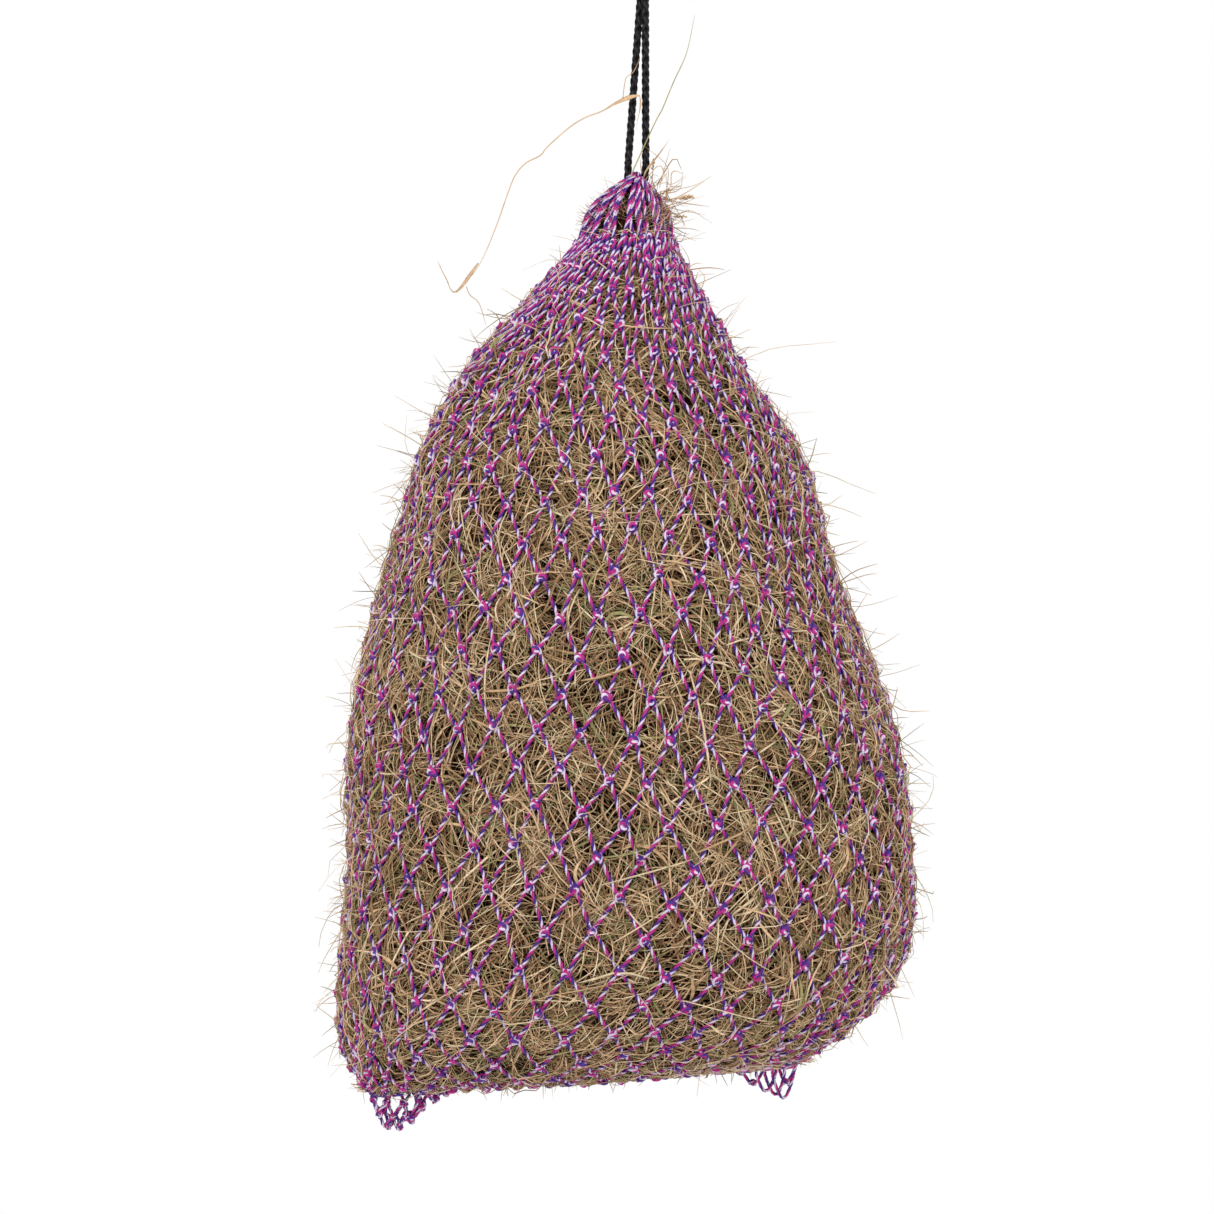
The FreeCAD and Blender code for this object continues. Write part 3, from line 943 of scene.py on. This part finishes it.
# Where the strands cross the cord's turn: half their spread, the lowest crossing and how high they stack.
HEAD_SPREAD = 0.0040
HEAD_LIMIT = 0.0034
HEAD_LOW = -0.2283
HEAD_STACK = 0.0125
HEAD_TWIST = 0.0032


def gathered_line(near, far, x, z, twist):
    """One strand from a front knot up over the cord's turn and down to a back knot."""
    front = [near]
    back = [far]
    for height, share, away in GATHER:
        for line, knot, side in ((front, near, -1.0), (back, far, 1.0)):
            depth = share * abs(knot[1]) + CORD_CLEARANCE * away
            level = min(height, z - 0.0045)
            line.append((share * knot[0] + twist * (1 - away) + 0.3 * x * away, side * depth, level))
    return [*front, (x, -0.0016, z), (x, 0.0016, z), *reversed(back)]


def add_head_loops(material):
    """The top meshes drawn up over the cord's turn, each one two strands from a front knot to a back knot."""
    pile = Pile()
    columns = np.arange(18, 37)
    order = rng.permutation(2 * len(columns))
    for index in range(2 * len(columns)):
        column = columns[index // 2] % COLUMNS
        twin = (COLUMNS - column) % COLUMNS
        places = Spot(KNOT_ROWS[0][[column, twin]], KNOT_COLUMNS[0][[column, twin]])
        near, far = places.point
        near = near + np.array([rng.normal(0, 0.0006), 0.0, 0.0])
        spread = HEAD_SPREAD * (near[0] - RINGS[0, CENTRE]) / RINGS[0, HALF_WIDTH]
        x = np.clip(spread + rng.normal(0, 0.0009), -HEAD_LIMIT, HEAD_LIMIT)
        z = HEAD_LOW + HEAD_STACK * order[index] / len(order)
        line = smooth_path(gathered_line(near, far, x, z, rng.normal(0, HEAD_TWIST)), 64)
        add_loose_twine(pile, line, HEAD_TWINE_RADIUS)
    loops = pile.build("twine_head_loops", material, "net_twine")
    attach(loops, "bag")
    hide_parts("head_loops")


def add_lacing(material):
    """The twine that zigzags between the front and the back of the bottom seam."""
    pile = Pile()
    line = []
    for step in range(17):
        front = 19.5 + step * 0.95
        column = front if step % 2 == 0 else 36.0 - front
        spot = Spot(np.array([LAST_ROW - 0.02]), np.array([column]))
        line.append(spot.point[0] + (0.0, 0.0, -0.0012 + 0.0012 * math.sin(step * 2.1)))
    add_loose_twine(pile, smooth_path(line, 420))
    lacing = pile.build("twine_bottom_lacing", material, "net_twine")
    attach(lacing, "bag")
    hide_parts("bottom_lacing")


def ear_loop(pile, start, end, drop, bulge, lean):
    """One slack mesh that hangs from two points; it gives back its lowest point."""
    start, end = np.array(start), np.array(end)
    middle = (start + end) / 2 + np.array([lean, 0.0, -drop])
    left = start * 0.55 + middle * 0.45 + np.array([-bulge, rng.uniform(-0.003, 0.003), 0.0])
    right = end * 0.55 + middle * 0.45 + np.array([bulge, rng.uniform(-0.003, 0.003), 0.0])
    low_left = middle + np.array([-bulge * 0.85, 0.0, drop * 0.10])
    low_right = middle + np.array([bulge * 0.85, 0.0, drop * 0.10])
    line = smooth_path([start, left, low_left, middle, low_right, right, end], 34)
    add_loose_twine(pile, line, SLACK_TWINE_RADIUS)
    return middle


def hang_knots(pile, places):
    """Sheet bends on the slack meshes."""
    places = np.array(places)
    count = len(places)
    angles = rng.uniform(0, 2 * np.pi, count)
    across = unit(np.stack([np.cos(angles), 0.4 * np.sin(angles), np.sin(angles)], -1))
    outward = unit(np.cross(across, rng.normal(0, 1, (count, 3))))
    add_knots(pile, places, across, outward, np.cross(across, outward), SLACK_KNOT_SCALE)


# The slack meshes of the left ear: rows of knots, each joined to the two knots above it.
LEFT_EAR = [
    [
        (-0.202, -0.004, -0.990),
        (-0.192, 0.005, -0.995),
        (-0.180, -0.006, -0.997),
        (-0.167, 0.004, -0.997),
        (-0.154, -0.005, -0.995),
        (-0.142, 0.003, -0.993),
    ],
    [
        (-0.196, 0.003, -1.010),
        (-0.184, -0.005, -1.013),
        (-0.170, 0.005, -1.013),
        (-0.158, -0.004, -1.010),
        (-0.147, 0.004, -1.005),
    ],
    [
        (-0.190, -0.003, -1.022),
        (-0.178, 0.004, -1.026),
        (-0.167, -0.004, -1.023),
        (-0.155, 0.003, -1.016),
    ],
    [
        (-0.182, 0.002, -1.0325),
        (-0.173, -0.003, -1.0335),
        (-0.164, 0.002, -1.027),
    ],
]

# The open loops of the right ear and along the bottom hem: start, end, drop, bulge and lean.
RIGHT_EAR = [
    ((0.108, -0.005, -0.968), (0.121, 0.004, -0.967), 0.010, 0.003, 0.001),
    ((0.117, 0.006, -0.967), (0.133, -0.003, -0.965), 0.0195, 0.004, 0.001),
    ((0.129, -0.007, -0.965), (0.145, 0.003, -0.963), 0.0270, 0.004, 0.000),
    ((0.136, 0.006, -0.964), (0.151, -0.004, -0.962), 0.0310, 0.004, 0.002),
    ((0.1423, -0.007, -0.963), (0.1601, 0.003, -0.960), 0.0350, 0.004, 0.001),
    ((0.148, 0.005, -0.961), (0.163, -0.004, -0.958), 0.0240, 0.003, -0.001),
]
HEM = [
    ((-0.149, -0.003, -0.998), (-0.140, 0.003, -0.996), 0.011, 0.002, 0.001),
    ((-0.140, 0.003, -0.996), (-0.130, -0.003, -0.994), 0.0075, 0.002, 0.001),
    ((-0.128, -0.003, -0.993), (-0.118, 0.003, -0.991), 0.005, 0.002, 0.001),
    ((-0.095, -0.003, -0.987), (-0.086, 0.003, -0.986), 0.004, 0.002, 0.000),
]


def add_slack_rows(pile, rows):
    """Slack meshes: a knot at every point, and a bowed strand up to each of the two points above it."""
    places = [np.array(point) + rng.normal(0, 0.0006, 3) for row in rows for point in row]
    hang_knots(pile, places)
    for upper, lower in zip(rows, rows[1:]):
        for index, foot in enumerate(lower):
            for top in upper[index : index + 2]:
                bow = rng.normal(0, 0.0022, 3)
                middle = (np.array(top) + np.array(foot)) / 2 + bow
                add_loose_twine(pile, smooth_path([top, middle, foot], 12), SLACK_TWINE_RADIUS)


def add_ears(material):
    """The slack netting that hangs below the two bottom corners."""
    left = Pile()
    add_slack_rows(left, LEFT_EAR)
    add_slack_rows(left, [[(x, -0.7 * y, z + 0.0015) for x, y, z in row] for row in LEFT_EAR[1:]])
    hang_knots(left, [ear_loop(left, *loop) for loop in HEM])
    right = Pile()
    ends = [ear_loop(right, *loop) for loop in RIGHT_EAR]
    hang_knots(right, [np.array(loop[0]) for loop in RIGHT_EAR] + [ends[1], ends[5]])
    for side, pile in (("left", left), ("right", right)):
        ear = pile.build(f"twine_{side}_ear", material, "net_twine")
        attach(ear, "bag")
        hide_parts(f"{side}_corner_ear")


# ---- the hay ----

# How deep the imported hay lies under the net, and what it keeps of the seam's depth.
CORE_DEPTH = 0.0120
CORE_SEAM_DEPTH = 0.92
# The hay's point inside the gathered neck: share of the top ring's width, and rise above it.
NECK_CORE = ((0.10, 0.0370), (0.45, 0.0290), (0.75, 0.0160))
STRANDS_A_PIECE = 7600
STRAND_PIECES = 11
TRIANGLE = polygon(3)
STRAND_RINGS = 5
STRAND_TAPER = np.array([0.65, 1.0, 1.05, 0.95, 0.45])
FLY_RINGS = 7
FLY_TAPER = np.array([1.0, 1.0, 0.95, 0.85, 0.75, 0.6, 0.3])
# How far loose hay may stand out of the CAD's box in x, y and z.
PROUD = (0.019, 0.017, 0.012)


def kept_in_box(points):
    """Points drawn back to where loose hay may stand proud of the bag."""
    low, high = (np.array([float(value) for value in corner]) for corner in CAD_BOX)
    return np.clip(points, low - PROUD, high + PROUD)


def add_core(material):
    """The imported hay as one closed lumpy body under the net."""
    rows = np.arange(0, LAST_ROW + 0.001, 0.5)
    columns = np.arange(0, COLUMNS, 0.5)
    row, column = np.meshgrid(rows, columns, indexing="ij")
    spot = Spot(row, column)
    rough = rng.normal(0, 0.0016, row.shape)
    depth = CORE_DEPTH - 0.0030 * swell(row, column) - rough
    inward = np.minimum(depth, 0.45 * spot.column_width + 0.002)
    points = spot.point - spot.normal * inward[..., None]
    points[-2:, :, 1] *= CORE_SEAM_DEPTH
    middle = points[0].mean(axis=0)
    neck = [middle * (1 - share) + points[0] * share + (0, 0, rise) for share, rise in NECK_CORE]
    points = np.concatenate([neck, points])
    row = np.concatenate([np.zeros((len(NECK_CORE), row.shape[1])), row])
    column = np.concatenate([column[: len(NECK_CORE)], column])
    count_rows, count_columns = row.shape
    index = np.arange(count_rows * count_columns).reshape(count_rows, count_columns)
    after = np.roll(index, -1, axis=1)
    quads = np.stack([index[:-1], index[1:], after[1:], after[:-1]], -1).reshape(-1, 4)
    u = column / COLUMNS
    v = row / LAST_ROW
    u_after = u + 0.5 / COLUMNS
    corners = [(u[:-1], v[:-1]), (u[1:], v[1:]), (u_after[1:], v[1:]), (u_after[:-1], v[:-1])]
    uvs = np.stack([np.stack(corner, -1) for corner in corners], axis=2).reshape(-1, 4, 2)
    pile = Pile()
    pile.add_patch(points.reshape(-1, 3), quads, uvs)
    turns = np.arange(count_columns) * 2 * np.pi / count_columns
    disc = np.stack([0.5 + 0.02 * np.cos(turns), 0.5 + 0.02 * np.sin(turns)], -1)
    top = np.arange(count_columns)[None]
    bottom = (np.arange(count_columns)[::-1] + (count_rows - 1) * count_columns)[None]
    pile.groups += [(top, disc[None]), (bottom, disc[None])]
    core = pile.build("hay_packed_core", material, "hay")
    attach(core, "bag")
    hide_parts("hay_fill")


def random_places(count):
    """Rows and columns spread evenly over the bag's skin."""
    area = (GRID[:-1, :, 12] * GRID[:-1, :, 13]).ravel()
    cells = rng.choice(area.size, count, p=area / area.sum())
    row, column = np.divmod(cells, GRID.shape[1])
    return (row + rng.uniform(0, 1, count)) * GRID_STEP, (column + rng.uniform(0, 1, count)) * GRID_STEP


def lie_angle(row, column):
    """Which way the stems lie in each tuft."""
    turn = 2 * np.pi * column / COLUMNS
    broad = 1.3 * np.sin(4 * turn + 0.9 * row) + 1.1 * np.sin(9 * turn - 0.6 * row + 1.0)
    return broad + 0.8 * np.sin(17 * turn + 1.7 * row)


def stem_shades(count, depth_share):
    """Each stem's place on the colour ramp: mostly straw and tan, darker with depth as painted shade, a few
    green or red.
    """
    # Painted shade: the deeper a stem lies, the darker its place on the ramp.
    shades = np.clip(rng.normal(0.68, 0.18, count) - 0.92 * depth_share**0.9, 0.0, 0.82)
    special = rng.uniform(0, 1, count)
    shades = np.where((special > 0.84) & (depth_share < 0.6), rng.uniform(0.85, 0.96, count), shades)
    return np.where((special > 0.965) & (depth_share < 0.5), rng.uniform(0.96, 0.995, count), shades)


TUFT_STEMS = 12
# Lying stems: middle length, how far the deepest lies under the highest, how far each tilts, the rise
# through an open mesh, and the least and added height that the twine allows under it.
STEM_LENGTH = 0.043
STEM_DEPTH = 0.0105
STEM_TOP = 0.001
STEM_TILT = 0.0022
MESH_RISE = 0.0062
CEILING_LOW = -0.0022
CEILING_RISE = 0.0086
# The share of stems that cross over the twine, how much larger it is at the neck, and how high they go.
OVER_SHARE = 0.055
GATHER_OVER_SHARE = 0.09
OVER_LIFT = 0.004
OVER_RISE = 0.0055
# Near the neck the hay lies deeper under the gathered net: by how much, and over how many rows.
GATHER_SINK = 0.0030
GATHER_ROWS = 7.0
# Stems that stick out: middle length, shortest and longest, and what is left of it under the bag.
FLY_LENGTH = 0.024
FLY_SHORTEST = 0.009
FLY_LONGEST = 0.052
FLY_UNDERNEATH = 0.5
GRAIN_STEP = 0.0012
GRAIN_LENGTH = 0.0032
GRAIN_WIDTH = 0.001
# How many of each kind of stem there are, besides the lying ones.
FLY_AWAYS = 3400
BLADES = 260
TUFT_STALKS = 76
SHORT_TUFT_STALKS = 34
SEAM_STALKS = 700
NECK_STALKS = 900
SEAM_STALK_RADIUS = 0.00042
NECK_STALK_RADIUS = 0.00034


def tufted_places(count):
    """Rows, columns and lie angles of stems: over half of them side by side in tufts, the rest anywhere."""
    tufts = count * 6 // 10 // TUFT_STEMS
    row, column = random_places(tufts)
    angle = np.repeat(rng.uniform(0, 2 * np.pi, tufts), TUFT_STEMS) + rng.normal(0, 0.26, tufts * TUFT_STEMS)
    row = np.repeat(row, TUFT_STEMS) + rng.normal(0, 0.22, tufts * TUFT_STEMS)
    column = np.repeat(column, TUFT_STEMS) + rng.normal(0, 0.20, tufts * TUFT_STEMS)
    loose = count - len(row)
    loose_row, loose_column = random_places(loose)
    loose_angle = lie_angle(loose_row, loose_column) + rng.normal(0, 0.9, loose)
    places = np.concatenate([np.clip(row, 0, LAST_ROW), loose_row]), np.concatenate([column, loose_column])
    return *places, np.concatenate([angle, loose_angle])


def lying_rows(row, column, angle, length, bend, share):
    """Rows and columns along stems that lie on the bag, each bowed by its bend."""
    forward = length[:, None] * share
    x = forward * np.cos(angle)[:, None] - bend * np.sin(angle)[:, None]
    z = forward * np.sin(angle)[:, None] + bend * np.cos(angle)[:, None]
    here = Spot(row, column)
    columns = column[:, None] + x / np.maximum(here.column_width, 0.006)[:, None]
    return row[:, None] + z / here.row_height[:, None], columns


def lay_stems(count):
    """Stems that lie under and between the meshes, following the bulges."""
    row, column, angle = tufted_places(count)
    length = np.clip(np.exp(rng.normal(math.log(STEM_LENGTH), 0.46, count)), 0.012, 0.110)
    share = np.linspace(-0.5, 0.5, STRAND_RINGS)[None, :]
    bend = (rng.normal(0, 0.06, count) * length)[:, None] * (4 * share**2 - 0.33)
    rows, columns = lying_rows(row, column, angle, length, bend, share)
    spot = Spot(rows, columns)
    level = rng.uniform(0, 1, count) ** 0.85
    tilt = rng.normal(0, STEM_TILT, count)
    open_mesh = swell(rows, columns) ** 0.75
    heights = -STEM_DEPTH * level[:, None] + STEM_TOP + tilt[:, None] * 2 * share
    heights = heights + MESH_RISE * open_mesh * (1 - 0.6 * level[:, None])
    gathered = np.clip((GATHER_ROWS - row) / GATHER_ROWS, 0, 1)
    over = rng.uniform(0, 1, count) < OVER_SHARE + GATHER_OVER_SHARE * gathered
    crossing = np.where(over, OVER_RISE, 0.0)[:, None] * np.clip(1 - np.abs(share) * 1.2, 0, 1)
    ceiling = CEILING_LOW + CEILING_RISE * open_mesh + crossing
    heights = np.minimum(heights + np.where(over, OVER_LIFT, 0.0)[:, None], ceiling)
    heights = heights - GATHER_SINK * np.clip((GATHER_ROWS - rows) / GATHER_ROWS, 0, 1)
    paths = kept_in_box(spot.point + spot.normal * heights[..., None])
    radius = rng.uniform(0.00027, 0.00060, count)
    flat = np.where(rng.uniform(0, 1, count) < 0.3, rng.uniform(1.4, 2.4, count), 1.0)
    widths = (radius * flat)[:, None] * STRAND_TAPER
    thicknesses = (radius / np.sqrt(flat))[:, None] * STRAND_TAPER
    twists = rng.uniform(-0.6, 0.6, count)[:, None] + 0 * share
    sides, ups = surface_frames(paths, spot.normal)
    tubes = tube_points(paths, sides, ups, TRIANGLE, widths, thicknesses, twists)
    # Each stem's level under the others sets its painted shade; stems over the twine get none.
    return tubes, stem_shades(count, level * (1 - over))


def fly_away_stems(count):
    """Stems that stick out of the bag, held at one end."""
    row, column = random_places(count)
    spot = Spot(row, column)
    lift = np.radians(rng.uniform(12, 75, count))
    heading = rng.uniform(0, 2 * np.pi, count)
    along = spot.across * np.cos(heading)[:, None] + spot.down * np.sin(heading)[:, None]
    out = along * np.cos(lift)[:, None] + spot.normal * np.sin(lift)[:, None]
    length = np.clip(np.exp(rng.normal(math.log(FLY_LENGTH), 0.42, count)), FLY_SHORTEST, FLY_LONGEST)
    length = length * np.where(spot.normal[:, 2] < -0.6, FLY_UNDERNEATH, 1.0)
    share = np.linspace(-0.15, 1.0, FLY_RINGS)[None, :, None]
    curl = unit(rng.normal(0, 1, (count, 3))) * (rng.normal(0, 0.36, count) * length)[:, None]
    paths = (spot.point - spot.normal * 0.003)[:, None, :] + out[:, None, :] * length[:, None, None] * share
    kink = unit(rng.normal(0, 1, (count, 3))) * (np.abs(rng.normal(0, 0.14, count)) * length)[:, None]
    paths = paths + curl[:, None, :] * share**2 + kink[:, None, :] * (1 - np.abs(2 * share - 1))
    sag = np.array([0.0, 0.0, -1.0]) * (0.12 * length)[:, None]
    paths = kept_in_box(paths + sag[:, None, :] * share**2)
    radius = rng.uniform(0.00026, 0.00060, count)
    widths = radius[:, None] * FLY_TAPER
    ups = np.broadcast_to(unit(rng.normal(0, 1, (count, 3)))[:, None, :], paths.shape)
    sides, outward = surface_frames(paths, ups)
    tubes = tube_points(paths, sides, outward, TRIANGLE, widths, widths, np.zeros(widths.shape))
    return tubes, stem_shades(count, np.zeros(count))


def hay_object(name, batches, material):
    """One object of stems."""
    pile = Pile()
    for tubes, shades in batches:
        along = np.tile(np.linspace(0.02, 0.98, tubes.shape[1]), (len(tubes), 1))
        pile.add_tubes(tubes, along, shades, 0.004)
    hay = pile.build(name, material, "hay")
    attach(hay, "bag")
    return hay


def blades(count):
    """Broad dry leaf blades that lie among the stems."""
    row, column = random_places(count)
    length = rng.uniform(0.022, 0.058, count)
    angle = rng.uniform(0, 2 * np.pi, count)
    share = np.linspace(-0.5, 0.5, FLY_RINGS)[None, :]
    bend = (rng.normal(0, 0.2, count) * length)[:, None] * (4 * share**2 - 0.33)
    rows, columns = lying_rows(row, column, angle, length, bend, share)
    spot = Spot(rows, columns)
    bulge = swell(rows, columns)
    heights = np.minimum(0.001 + 0.006 * bulge**0.75, -0.0018 + 0.0085 * bulge**0.7)
    paths = spot.point + spot.normal * heights[..., None]
    half = rng.uniform(0.0009, 0.0019, count)[:, None]
    taper = np.array([0.25, 0.8, 1.0, 1.0, 0.9, 0.6, 0.12])
    sides, ups = surface_frames(paths, spot.normal)
    twists = rng.normal(0, 0.5, count)[:, None] + rng.normal(0, 0.8, count)[:, None] * share
    tubes = tube_points(paths, sides, ups, polygon(6, 0.16), half * taper, half * taper, twists)
    green = rng.uniform(0, 1, count) < 0.4
    return tubes, np.where(green, rng.uniform(0.86, 0.96, count), rng.uniform(0.3, 0.66, count))


def stalk(points, radius, shade, rings=30, sides=6):
    """One stalk along given points."""
    path = smooth_path(points, rings)
    taper = np.interp(np.linspace(0, 1, rings), [0, 0.7, 1], [1.0, 0.8, 0.25]) * radius
    tube = tube_points(path, *rolling_frames(path), polygon(sides), taper, taper, np.zeros(rings))
    return tube[None], np.array([shade])


def leaf(points, half_width, shade, rings=26):
    """One flat blade along given points."""
    path = smooth_path(points, rings)
    taper = np.interp(np.linspace(0, 1, rings), [0, 0.25, 0.7, 1], [0.3, 1.0, 0.8, 0.08]) * half_width
    turns = np.linspace(0.2, 1.6, rings)
    tube = tube_points(path, *rolling_frames(path), polygon(6, 0.2), taper, taper, turns)
    return tube[None], np.array([shade])


def seed_head(tip, direction, grains=11):
    """Small grains set in turn on each side of a stalk's tip."""
    direction = unit(direction)
    side = unit(np.cross(direction, (0.2, 1.0, 0.1)))
    tubes = []
    for grain in range(grains):
        turn = grain * 2.4
        out = side * math.cos(turn) + np.cross(direction, side) * math.sin(turn)
        start = np.array(tip) - direction * GRAIN_STEP * (grains - grain)
        lean = unit(direction * 1.4 + out)
        path = start + lean * np.linspace(0, GRAIN_LENGTH, 5)[:, None]
        girth = np.array([0.15, 0.6, 0.7, 0.45, 0.05]) * GRAIN_WIDTH
        tubes.append(tube_points(path, *rolling_frames(path), HEXAGON, girth, girth, np.zeros(5)))
    return np.array(tubes), rng.uniform(0.3, 0.75, grains)


LEFT_STALK = [
    (-0.0188, -0.0145, -0.1583),
    (-0.0327, -0.018, -0.1667),
    (-0.0453, -0.019, -0.1721),
    (-0.0591, -0.021, -0.1817),
    (-0.0763, -0.023, -0.1985),
    (-0.0818, -0.023, -0.2058),
    (-0.0936, -0.024, -0.2125),
    (-0.1019, -0.025, -0.2226),
    (-0.1071, -0.025, -0.2356),
    (-0.1185, -0.027, -0.2719),
    (-0.1316, -0.028, -0.3032),
    (-0.1491, -0.028, -0.3238),
]
LEFT_TIP = [
    (-0.1308, -0.028, -0.2990),
    (-0.1490, -0.028, -0.3240),
    (-0.1580, -0.030, -0.3120),
    (-0.1655, -0.031, -0.2980),
]
LEFT_THREAD = [
    (-0.1403, -0.028, -0.3191),
    (-0.1370, -0.028, -0.3260),
    (-0.1290, -0.028, -0.3330),
    (-0.1223, -0.028, -0.3517),
]
LEFT_BLADE = [
    (0.0001, -0.010, -0.1506),
    (-0.0077, -0.012, -0.1525),
    (-0.0188, -0.014, -0.1579),
    (-0.0327, -0.018, -0.1667),
]
LEFT_FOLD = [
    (0.0001, -0.010, -0.1506),
    (0.0012, -0.008, -0.1560),
    (0.0006, -0.007, -0.1640),
    (-0.0011, -0.006, -0.1729),
    (-0.0014, -0.006, -0.1800),
]
LEFT_BRANCH = [
    (-0.0140, -0.013, -0.1535),
    (-0.0129, -0.012, -0.1421),
    (-0.0114, -0.011, -0.1357),
    (-0.0055, -0.010, -0.1305),
    (-0.0009, -0.009, -0.1191),
]
RIGHT_STALK = [
    (-0.0060, -0.006, -0.2250),
    (-0.0029, -0.010, -0.2140),
    (0.0142, -0.012, -0.1731),
    (0.0196, -0.012, -0.1623),
    (0.0287, -0.012, -0.1380),
    (0.0386, -0.013, -0.1136),
    (0.0444, -0.014, -0.0816),
]
RIGHT_STRAW = [
    (0.0060, -0.008, -0.2200),
    (0.0084, -0.010, -0.2136),
    (0.0190, -0.012, -0.1990),
    (0.0274, -0.014, -0.1862),
]


def neck_tuft():
    """The bunch of stems and seed heads that stands out beside the neck on the right."""
    batches = []
    for _ in range(TUFT_STALKS):
        start = np.array([rng.uniform(0.000, 0.030), rng.uniform(-0.022, 0.018), rng.uniform(-0.266, -0.222)])
        heading = math.radians(rng.normal(8, 46))
        reach = rng.uniform(0.008, 0.042)
        out = np.array([math.cos(heading), rng.normal(-0.15, 0.4), math.sin(heading)]) * reach
        kink = start + out * rng.uniform(0.4, 0.7) + rng.normal(0, 0.0042, 3)
        end = start + out + rng.normal(0, 0.0062, 3)
        batches.append(stalk([start, kink, end], rng.uniform(0.00030, 0.00062), rng.uniform(0.3, 0.8), 9, 3))
        if rng.uniform() < 0.14:
            batches.append(seed_head(end, end - kink, 8))
    for _ in range(SHORT_TUFT_STALKS):
        turn = rng.uniform(0, 2 * np.pi)
        start = np.array([0.016 * math.cos(turn), 0.016 * math.sin(turn), rng.uniform(-0.262, -0.236)])
        lean = rng.uniform(-0.6, 1.4)
        out = np.array([math.cos(turn + lean) * 0.9, math.sin(turn + lean) * 0.9, rng.uniform(-0.5, 1.3)])
        out = out * rng.uniform(0.010, 0.032)
        kink = start + out * 0.55 + rng.normal(0, 0.0035, 3)
        radius = rng.uniform(0.00026, 0.0005)
        batches.append(stalk([start, kink, start + out], radius, rng.uniform(0.3, 0.8), 8, 3))
    return batches


def seam_filling():
    """Stems that lie along the bottom seam between its front and back edges."""
    batches = []
    for _ in range(SEAM_STALKS):
        row = LAST_ROW - rng.uniform(0.0, 0.7)
        column = rng.uniform(0, COLUMNS)
        pair = Spot(np.array([row, row]), np.array([column, COLUMNS - column])).point
        middle = pair[0] + (pair[1] - pair[0]) * rng.uniform(0.1, 0.9) + (0, 0, rng.uniform(-0.001, 0.005))
        reach = np.array([rng.uniform(-0.022, 0.022), rng.uniform(-0.010, 0.010), rng.uniform(-0.002, 0.004)])
        bow = middle + rng.normal(0, 0.0012, 3)
        line = [middle - reach, bow, middle + reach]
        batches.append(stalk(line, SEAM_STALK_RADIUS, rng.uniform(0.25, 0.75), 6, 3))
    return batches


def neck_filling():
    """Crossed stems inside the gathered neck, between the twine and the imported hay."""
    batches = []
    for _ in range(NECK_STALKS):
        turn = rng.uniform(0, 2 * np.pi)
        radius = rng.uniform(0.006, 0.035)
        start = np.array([radius * math.cos(turn) - 0.004, radius * math.sin(turn), -0.228 - 0.92 * radius])
        heading = rng.uniform(0, 2 * np.pi)
        out = np.array([math.cos(heading) * 0.014, math.sin(heading) * 0.014, rng.uniform(-0.006, 0.012)])
        middle = start + out * 0.5 + rng.normal(0, 0.0015, 3)
        batches.append(stalk([start, middle, start + out], NECK_STALK_RADIUS, rng.uniform(0.2, 0.72), 6, 3))
    return batches


def add_hay():
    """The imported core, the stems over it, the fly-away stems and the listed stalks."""
    stems = hay_material()
    add_core(core_material())
    for piece in range(STRAND_PIECES):
        hay_object(f"hay_stems_{piece + 1:02d}", [lay_stems(STRANDS_A_PIECE)], stems)
    hay_object("hay_fly_aways", [fly_away_stems(FLY_AWAYS)], stems)
    hay_object("hay_blades", [blades(BLADES)], stems)
    hand_placed = [
        stalk(LEFT_STALK, 0.00055, 0.60, 60),
        leaf(LEFT_TIP, 0.0022, 0.55),
        leaf(LEFT_BLADE, 0.0022, 0.62),
        leaf(LEFT_FOLD, 0.0011, 0.58),
        stalk(LEFT_BRANCH, 0.0004, 0.50, 30),
        stalk(RIGHT_STALK, 0.00055, 0.86, 40),
        leaf(RIGHT_STRAW, 0.0010, 0.55),
        stalk(LEFT_THREAD, 0.0004, 0.5, 30),
    ]
    hay_object("hay_long_stalks", hand_placed, stems)
    hay_object("hay_neck_tuft", neck_tuft() + neck_filling(), stems)
    hay_object("hay_seam_stems", seam_filling(), stems)


# ---- build ----

add_camera()
add_world(1.0)
add_area_light("key", (-1.3, -2.4, 0.7), CAMERA_AIM, 1.4, 34.0)
add_area_light("fill", (1.9, -1.6, -0.3), CAMERA_AIM, 1.6, 12.0)
add_floor()
add_cords()
twine = twine_material()
add_head_loops(twine)
add_net(twine)
add_lacing(twine)
add_ears(twine)
add_hay()
